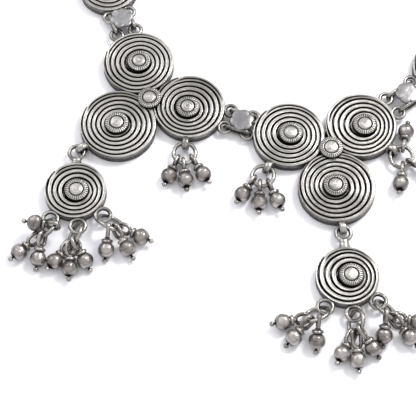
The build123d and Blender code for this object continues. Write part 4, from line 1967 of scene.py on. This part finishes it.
@dataclass(frozen=True)
class ClaspHook:
    """A plain S of round wire at the back of the neck."""

    wire: float = 1.1
    lobe_r: float = 2.4
    lobe_at: float = 4.8
    sweep: float = 255.0
    tip_r: float = 0.7

    def build(self, shop: Workshop, seed: int) -> None:
        """Bends the S from its middle outwards, one lobe after the other.

        Args:
            shop: Where the materials are.
            seed: What its unevenness starts from.
        """
        work = Casting(seed)
        slant = degrees(asin(self.lobe_r / self.lobe_at))
        centre = Vector((self.lobe_at, 0.0, 0.0))
        arm = polar(self.lobe_r, 90.0 + slant)
        for flip in (0.0, 180.0):
            shape = work.shape()
            wire = round_wire(self.lobe_r, self.wire, 12, inner=0.5, outer=0.15)
            geom = shape.section(wire, True)
            shape.move(at(centre, 90.0 + slant))
            end = shape.spin(geom, -self.sweep, 40, centre)
            shape.cap(end)
            shape.draw_out(geom, -(centre + arm))
            shape.ball(centre + polar(self.lobe_r, 90.0 + slant - self.sweep), self.tip_r)
            work.join(shape, spin_z(flip))
        bmesh.ops.remove_doubles(work.mesh, verts=work.mesh.verts, dist=0.01)
        work.wobble(amount=0.05, size=2.0)
        work.move(at(GAUGE.neck + polar(GAUGE.chain_r, 90.0) + UP * GAUGE.eye_z))
        work.finish("s_hook", Slot.CHAIN, ["clasp_hook"], shop)


# Studio


@dataclass(frozen=True)
class SoftLight:
    """A square soft light, aimed at the target."""

    name: str
    heading: float
    elevation: float
    distance: float
    size: float
    power: float
    colour: tuple[float, float, float] = (1.0, 1.0, 1.0)

    def build(self, target: Vector) -> None:
        """Sets the light.

        Args:
            target: What it is aimed at, in metres.
        """
        data = bpy.data.lights.new(self.name, "AREA")
        data.shape = "SQUARE"
        data.size = self.size
        data.energy = self.power
        data.color = self.colour
        lamp = bpy.data.objects.new(self.name, data)
        away = direction(self.heading, self.elevation)
        lamp.location = target + away * self.distance
        lamp.rotation_euler = away.to_track_quat("Z", "Y").to_euler()
        bpy.context.scene.collection.objects.link(lamp)


@dataclass(frozen=True)
class Studio:
    """Pale floor, soft light and the camera at the photograph's angle."""

    target: tuple[float, float, float] = (-0.0384, -0.0128, 0.0)
    heading: float = 261.44
    elevation: float = 64.0
    distance: float = 0.48
    pixels_per_mm: float = 3.388
    frame_px: int = 416
    sensor: float = 36.0
    floor: Colour = (0.90, 0.895, 0.93, 1.0)
    floor_rough: float = 0.7
    floor_half: float = 2.0
    floor_drop: float = 0.0001
    zenith: Colour = (1.0, 1.0, 1.0, 1.0)
    horizon: Colour = (0.38, 0.385, 0.40, 1.0)
    zenith_from: float = 0.65
    sky_strength: float = 1.1
    near_clip: float = 0.01

    def build(self) -> None:
        """Sets the camera, the floor and the lights."""
        target = Vector(self.target)
        away = direction(self.heading, self.elevation)
        data = bpy.data.cameras.new("camera")
        data.sensor_width = self.sensor
        data.lens = self.sensor * self.pixels_per_mm * self.distance / MM / self.frame_px
        data.clip_start = self.near_clip
        camera = bpy.data.objects.new("camera", data)
        camera.location = target + away * self.distance
        camera.rotation_euler = away.to_track_quat("Z", "Y").to_euler()
        bpy.context.scene.collection.objects.link(camera)
        bpy.context.scene.camera = camera
        self._floor()
        self._sky()
        lights = (
            SoftLight(
                "key", heading=self.heading + 130.0, elevation=50.0, distance=0.6, size=0.16, power=2.4
            ),
            SoftLight(
                "fill", heading=self.heading - 140.0, elevation=45.0, distance=0.6, size=0.3, power=0.8,
                colour=(0.93, 0.96, 1.0),
            ),
        )
        for light in lights:
            light.build(target)
        bpy.context.scene.view_settings.view_transform = "Standard"

    def _floor(self) -> None:
        """Lays the pale floor."""
        work = bmesh.new()
        bmesh.ops.create_grid(work, x_segments=1, y_segments=1, size=self.floor_half)
        data = bpy.data.meshes.new("pale_floor")
        work.to_mesh(data)
        work.free()
        floor = bpy.data.objects.new("pale_floor", data)
        floor.location.z = -self.floor_drop
        made = bpy.data.materials.new("pale_floor")
        made.use_nodes = True
        shader = made.node_tree.nodes["Principled BSDF"]
        shader.inputs["Base Color"].default_value = self.floor
        shader.inputs["Roughness"].default_value = self.floor_rough
        data.materials.append(made)
        bpy.context.scene.collection.objects.link(floor)
        floor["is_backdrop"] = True

    def _sky(self) -> None:
        """Lights the room from a bright ceiling that falls off to dark walls."""
        world = bpy.data.worlds.new("studio")
        world.use_nodes = True
        lay = Wiring(world.node_tree)
        ground = world.node_tree.nodes["Background"]
        ahead = lay.node("ShaderNodeTexCoord").outputs["Generated"]
        height = lay.node("ShaderNodeSeparateXYZ", Vector=ahead).outputs["Z"]
        sky = lay.blend(lay.spread(height, 0.0, self.zenith_from), self.horizon, self.zenith)
        lay.feed(ground.inputs["Color"], sky)
        ground.inputs["Strength"].default_value = self.sky_strength
        bpy.context.scene.world = world


def corners() -> list[list[float]]:
    """The shown object's box as plain numbers."""
    return [[float(value) for value in corner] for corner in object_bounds()]


def main() -> None:
    """Builds the choker round the frame, then the studio."""
    logging.basicConfig(level=logging.INFO, format="%(name)s: %(message)s")
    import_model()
    cad_box = corners()
    # Noise starts from the clock otherwise
    noise.seed_set(NOISE_SEED)
    shop = Workshop((Vector(cad_box[0]) / MM, Vector(cad_box[1]) / MM))
    shop.prepare()
    layout = Layout()
    for number, unit in enumerate(layout.turns):
        Trefoil(unit, layout).build(shop, Seed.TREFOIL.of(number))
    for number, (name, plan) in enumerate(PENDANTS.items()):
        Pendant(name, plan, layout).build(shop, Seed.PENDANT.of(number))
    for number, (name, plan) in enumerate(LINKS.items()):
        FlowerLink(name, plan, layout).build(shop, Seed.LINK.of(number))
    for number, (name, ring) in enumerate(layout.rings.items()):
        Bunch(name, ring, DROPS[name]).build(shop, Seed.BUNCH.of(number))
    for number, (side, sense) in enumerate((("left", -1), ("right", 1))):
        end = EndDisc(side, sense, layout)
        end.build(shop, Seed.END.of(number))
        NeckChain(end).build(shop, Seed.CHAIN.of(number))
    ClaspHook().build(shop, Seed.CLASP.of())
    LOG.info("%d triangles in all", shop.triangles)
    Studio().build()


if __name__ == "__main__":
    main()
